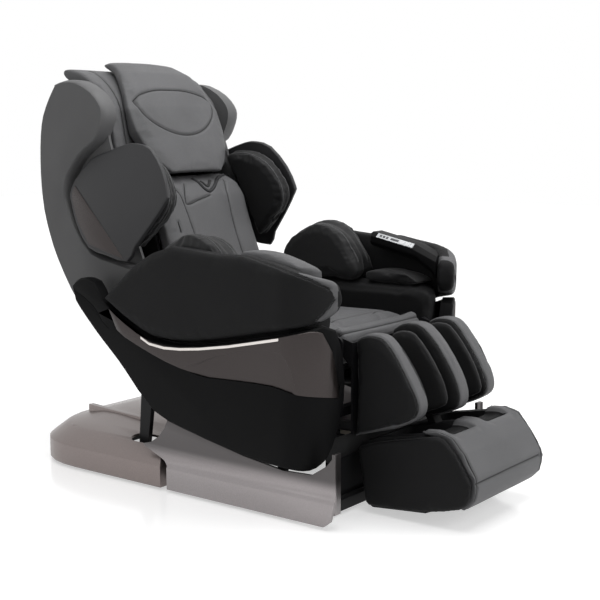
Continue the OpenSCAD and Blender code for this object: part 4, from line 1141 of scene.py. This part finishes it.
@dataclass
class Backrest:
    """The backrest's covers, wings, pads and the massage carriage."""

    def build(self) -> None:
        """Builds and dresses the rigid pieces of the backrest."""
        Cover("back_shell", "back", "shell_black", Finish.SHELL, 0.003, 24.0).build()
        for side in ("left", "right"):
            Cover("back_side_" + side, "back", "shell_black", Finish.COVER, 0.004, 26.0, 3).build()
            Cover("wing_shell_" + side, "back", "shell_black", Finish.WING, 0.003, 26.0, 3).build()
        Cover("wing_inlays", "back", "bronze", Finish.TRIM, 0.0008).build()
        dress(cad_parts["back_frame"], Finish.FRAME)
        dress(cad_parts["carriage_frame"], Finish.FRAME)
        dress(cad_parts["carriage_screw"], Finish.STEEL)
        dress(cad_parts["roller_arms"], Finish.STEEL)
        for node, body in (("upper_rollers", "upper_roller_pair"), ("lower_rollers", "lower_roller_pair")):
            Cover(node, body, "roller", Finish.ROLLER, 0.0).build()

    def pads(self) -> List[Pad]:
        """The padded pieces of the backrest."""
        return [
            Pad(
                "back_cushion", "back", "leather", Finish.TOP_LEATHER,
                seams=[
                    *both(Seam([(0.136, 0.372, 0.882), (0.113, 0.342, 0.848), (0.105, 0.32, 0.8), (0.099, 0.298, 0.737),
                                (0.099, 0.274, 0.674), (0.105, 0.25, 0.6), (0.12, 0.23, 0.53)], (0.0, 1.0, -0.3))),
                    Seam([(-0.069, 0.36, 0.874), (-0.095, 0.33, 0.815), (-0.04, 0.33, 0.822), (0.022, 0.332, 0.836)],
                         (0.0, 0.0, -1.0), still=True),
                    Seam([(-0.154, 0.309, 0.762), (-0.154, 0.297, 0.732)], (0.0, 0.0, -1.0), cord=0.003, still=True),
                    Seam([(0.17, 0.4, 0.9), (0.116, 0.38, 0.886), (0.025, 0.339, 0.848), (-0.01, 0.38, 0.887)], (0.0, 0.0, -1.0),
                         cord=0.0055, cord_finish=Finish.STRAP, raised=0.002, still=True),
                    Seam([(0.06, 0.366, 0.878), (0.03, 0.352, 0.862), (0.015, 0.366, 0.876)], (0.0, 0.0, -1.0), cord=0.006,
                         still=True),
                    Seam([(x / 100.0, 0.26, 0.575) for x in range(-18, 19, 4)], (0.0, 1.0, -0.3)),
                ],
            ),
            Pad(
                "upper_back_pad", "back", "leather", Finish.TOP_LEATHER,
                seams=[*both(Seam([(0.19, 0.62, 1.25), (0.195, 0.57, 1.22), (0.2, 0.53, 1.185), (0.205, 0.49, 1.14), (0.21, 0.46, 1.06),
                                   (0.212, 0.45, 0.96)], (0.0, 0.8, -0.6), stitched=True))],
            ),
            Pad(
                "head_pillow", "pillow", "leather", Finish.TOP_LEATHER, cap=0.005, shrink=0.003,
                seams=[
                    Seam([(-0.176, 0.46, 1.134), (-0.14, 0.47, 1.153), (-0.07, 0.48, 1.166), (0.0, 0.48, 1.169), (0.07, 0.48, 1.166),
                          (0.14, 0.47, 1.153), (0.176, 0.46, 1.134)], (0.0, 0.93, -0.36), depth=0.005),
                    Seam([(-0.176, 0.46, 1.134), (-0.166, 0.44, 1.1), (-0.13, 0.428, 1.063), (-0.07, 0.41, 1.036), (0.0, 0.404, 1.026),
                          (0.07, 0.41, 1.036), (0.13, 0.428, 1.063), (0.166, 0.44, 1.1), (0.176, 0.46, 1.134)],
                         (0.0, 0.93, -0.36), depth=0.005),
                ],
            ),
            Pad(
                "wing_airbags_left", "back", "airbag_cloth", Finish.BAG_CLOTH, voxel=0.005, twin="wing_airbags_right",
                rims=[Rim(x, cord=0.0022, cord_finish=Finish.PIPING, raised=0.0008, lean=math.radians(10.0), centre=(0.34, 0.83))
                      for x in (0.2885, 0.261)],
            ),
        ]


@dataclass
class LegRest:
    """The calf unit and the foot unit."""

    def build(self) -> None:
        """Builds and dresses the rigid pieces of the legrest."""
        dress(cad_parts["calf_frame"], Finish.FRAME)
        Cover("foot_housing", "footrest", "housing", Finish.HOUSING, 0.003, 30.0).build()
        Cover("sole_rollers", "sole_roller", "roller", Finish.ROLLER, 0.0015).build()

    def pads(self) -> List[Pad]:
        """The padded pieces of the legrest."""
        return [
            Pad(
                "calf_pad_left", "legrest", "leather", Finish.TOP_LEATHER, twin="calf_pad_right",
                side_finish=Finish.SIDE_LEATHER, side_test=faces_beside_strip_shaded(0.162, 0.2105),
                rims=[Rim(0.2105, stitched=True), Rim(0.162)],
            ),
            Pad(
                "calf_divider", "legrest", "leather", Finish.TOP_LEATHER, voxel=0.005, shrink=0.0012, cap=0.003,
                side_finish=Finish.SIDE_LEATHER, side_test=faces_beside_strip_shaded(-1.0, 0.026), rims=[Rim(0.026), Rim(-0.026)],
            ),
            Pad("calf_airbags", "legrest", "airbag_cloth", Finish.BAG_CLOTH, voxel=0.004, shrink=0.0015, cap=0.003,
                rims=[Rim(x * side, depth=0.0015, cord=0.0014, cord_finish=Finish.PIPING, raised=0.0003)
                      for x in (0.043, 0.148) for side in (-1, 1)]),
            Pad("calf_back_pads", "legrest", "airbag_cloth", Finish.BAG_CLOTH, voxel=0.005),
            Pad(
                "foot_cover", "footrest", "leather", Finish.TOP_LEATHER, voxel=0.005, cap=0.004,
                shape=sunk_wells, side_finish=Finish.SIDE_LEATHER, side_test=wells_painted_shade,
                rims=[Rim(x, arc=(85.0, 260.0), centre=(-0.6, 0.13), stitched=True) for x in (-0.186, 0.186)],
                seams=[Seam([(x / 100.0, -0.78, 0.133) for x in range(-19, 20, 4)], (0.0, 1.0, 0.0))],
            ),
            Pad("foot_side_pads", "footrest", "leather", Finish.SIDE_LEATHER, voxel=0.005, cap=0.004,
                rims=[Rim(0.209 * side, centre=(-0.58, 0.13)) for side in (-1, 1)]),
        ]


# ---------------------------------------------------------------- studio


@dataclass
class Studio:
    """The pale floor, the lamps and the camera."""

    camera_place: Point = (-2.928, -2.262, 1.06)
    azimuth: float = -52.86
    pitch: float = 8.16
    focal: float = 73.62
    top_power: float = 62.0
    front_power: float = 40.0
    fill_power: float = 4.0
    world_light: float = 0.28

    def build(self) -> None:
        """Builds the studio round the chair."""
        self._floor()
        self._world()
        self._lamp("top lamp", (0.0, -0.5, 3.1), (0.0, -0.1, 0.4), 2.6, self.top_power)
        self._lamp("front lamp", (1.6, -3.2, 1.9), (0.0, 0.0, 0.6), 1.8, self.front_power)
        self._lamp("side lamp", (-3.6, 0.6, 1.6), (0.0, 0.0, 0.5), 1.6, self.fill_power)
        self._camera()
        scene = bpy.context.scene
        scene.view_settings.view_transform = "Standard"

    def _floor(self) -> None:
        """A large pale floor that keeps the chair's shadow and a faint reflection."""
        deselect()
        bpy.ops.mesh.primitive_plane_add(size=24.0, location=(0.0, 0.0, 0.0))
        floor = bpy.context.active_object
        floor.name = "studio_floor"
        bpy.ops.object.transform_apply()
        board = Board("studio floor")
        path = board.add("ShaderNodeLightPath", None, None, "Is Camera Ray")
        gloss = board.add("ShaderNodeLightPath", None, None, "Is Glossy Ray")
        seen = path.most(gloss)
        speck = board.noise(3.0, 2.0)
        pale = board.blend(speck, (0.86, 0.86, 0.86), (0.88, 0.88, 0.88))
        shader = board.add(
            "ShaderNodeBsdfPrincipled",
            None,
            {"Base Color": pale, "Roughness": 0.16, "Specular IOR Level": 0.5},
        )
        glow = board.add("ShaderNodeEmission", None, {"Color": (1.0, 1.0, 1.0), "Strength": seen * 0.5})
        both_shaders = board.add("ShaderNodeAddShader", None, {0: shader, 1: glow})
        out = board.tree.nodes.new("ShaderNodeOutputMaterial")
        board.tree.links.new(both_shaders.socket, out.inputs["Surface"])
        floor.data.materials.append(board.material)

    def _world(self) -> None:
        """White for the camera and for reflections, and a soft even light for everything else."""
        world = bpy.data.worlds.new("studio world")
        bpy.context.scene.world = world
        world.use_nodes = True
        tree = world.node_tree
        tree.nodes.clear()
        path = tree.nodes.new("ShaderNodeLightPath")
        seen = tree.nodes.new("ShaderNodeMath")
        seen.operation = "MAXIMUM"
        tree.links.new(path.outputs["Is Camera Ray"], seen.inputs[0])
        shown = tree.nodes.new("ShaderNodeMath")
        shown.operation = "MAXIMUM"
        tree.links.new(path.outputs["Is Glossy Ray"], shown.inputs[0])
        tree.links.new(path.outputs["Is Transmission Ray"], shown.inputs[1])
        tree.links.new(shown.outputs[0], seen.inputs[1])
        level = tree.nodes.new("ShaderNodeMapRange")
        level.inputs["To Min"].default_value = self.world_light
        level.inputs["To Max"].default_value = 1.0
        tree.links.new(seen.outputs[0], level.inputs["Value"])
        back = tree.nodes.new("ShaderNodeBackground")
        back.inputs["Color"].default_value = (1.0, 1.0, 1.0, 1.0)
        tree.links.new(level.outputs["Result"], back.inputs["Strength"])
        out = tree.nodes.new("ShaderNodeOutputWorld")
        tree.links.new(back.outputs[0], out.inputs["Surface"])

    def _lamp(self, name: str, place: Point, aim: Point, size: float, power: float) -> None:
        """Adds a square soft lamp that looks at a point."""
        light = bpy.data.lights.new(name, "AREA")
        light.energy = power
        light.size = size
        lamp = bpy.data.objects.new(name, light)
        lamp.location = place
        lamp.rotation_euler = (Vector(aim) - Vector(place)).to_track_quat("-Z", "Y").to_euler()
        bpy.context.scene.collection.objects.link(lamp)

    def _camera(self) -> None:
        """Adds the camera."""
        data = bpy.data.cameras.new("camera")
        data.sensor_width = 36.0
        data.lens = self.focal
        camera = bpy.data.objects.new("camera", data)
        a, p = math.radians(self.azimuth), math.radians(self.pitch)
        ahead = Vector((-math.sin(a) * math.cos(p), math.cos(a) * math.cos(p), -math.sin(p)))
        camera.location = self.camera_place
        camera.rotation_mode = "QUATERNION"
        camera.rotation_quaternion = ahead.to_track_quat("-Z", "Y")
        data.clip_end = 60.0
        bpy.context.scene.collection.objects.link(camera)
        bpy.context.scene.camera = camera


def main() -> None:
    """Builds the whole chair and its studio, in order."""
    logging.basicConfig(level=logging.INFO, format="%(message)s")
    seat, back, legs = SeatBody(), Backrest(), LegRest()
    Base().build()
    seat.build()
    back.build()
    legs.build()
    Upholstery(seat.pads() + back.pads() + legs.pads()).build()
    Studio().build()


if __name__ == "__main__":
    main()
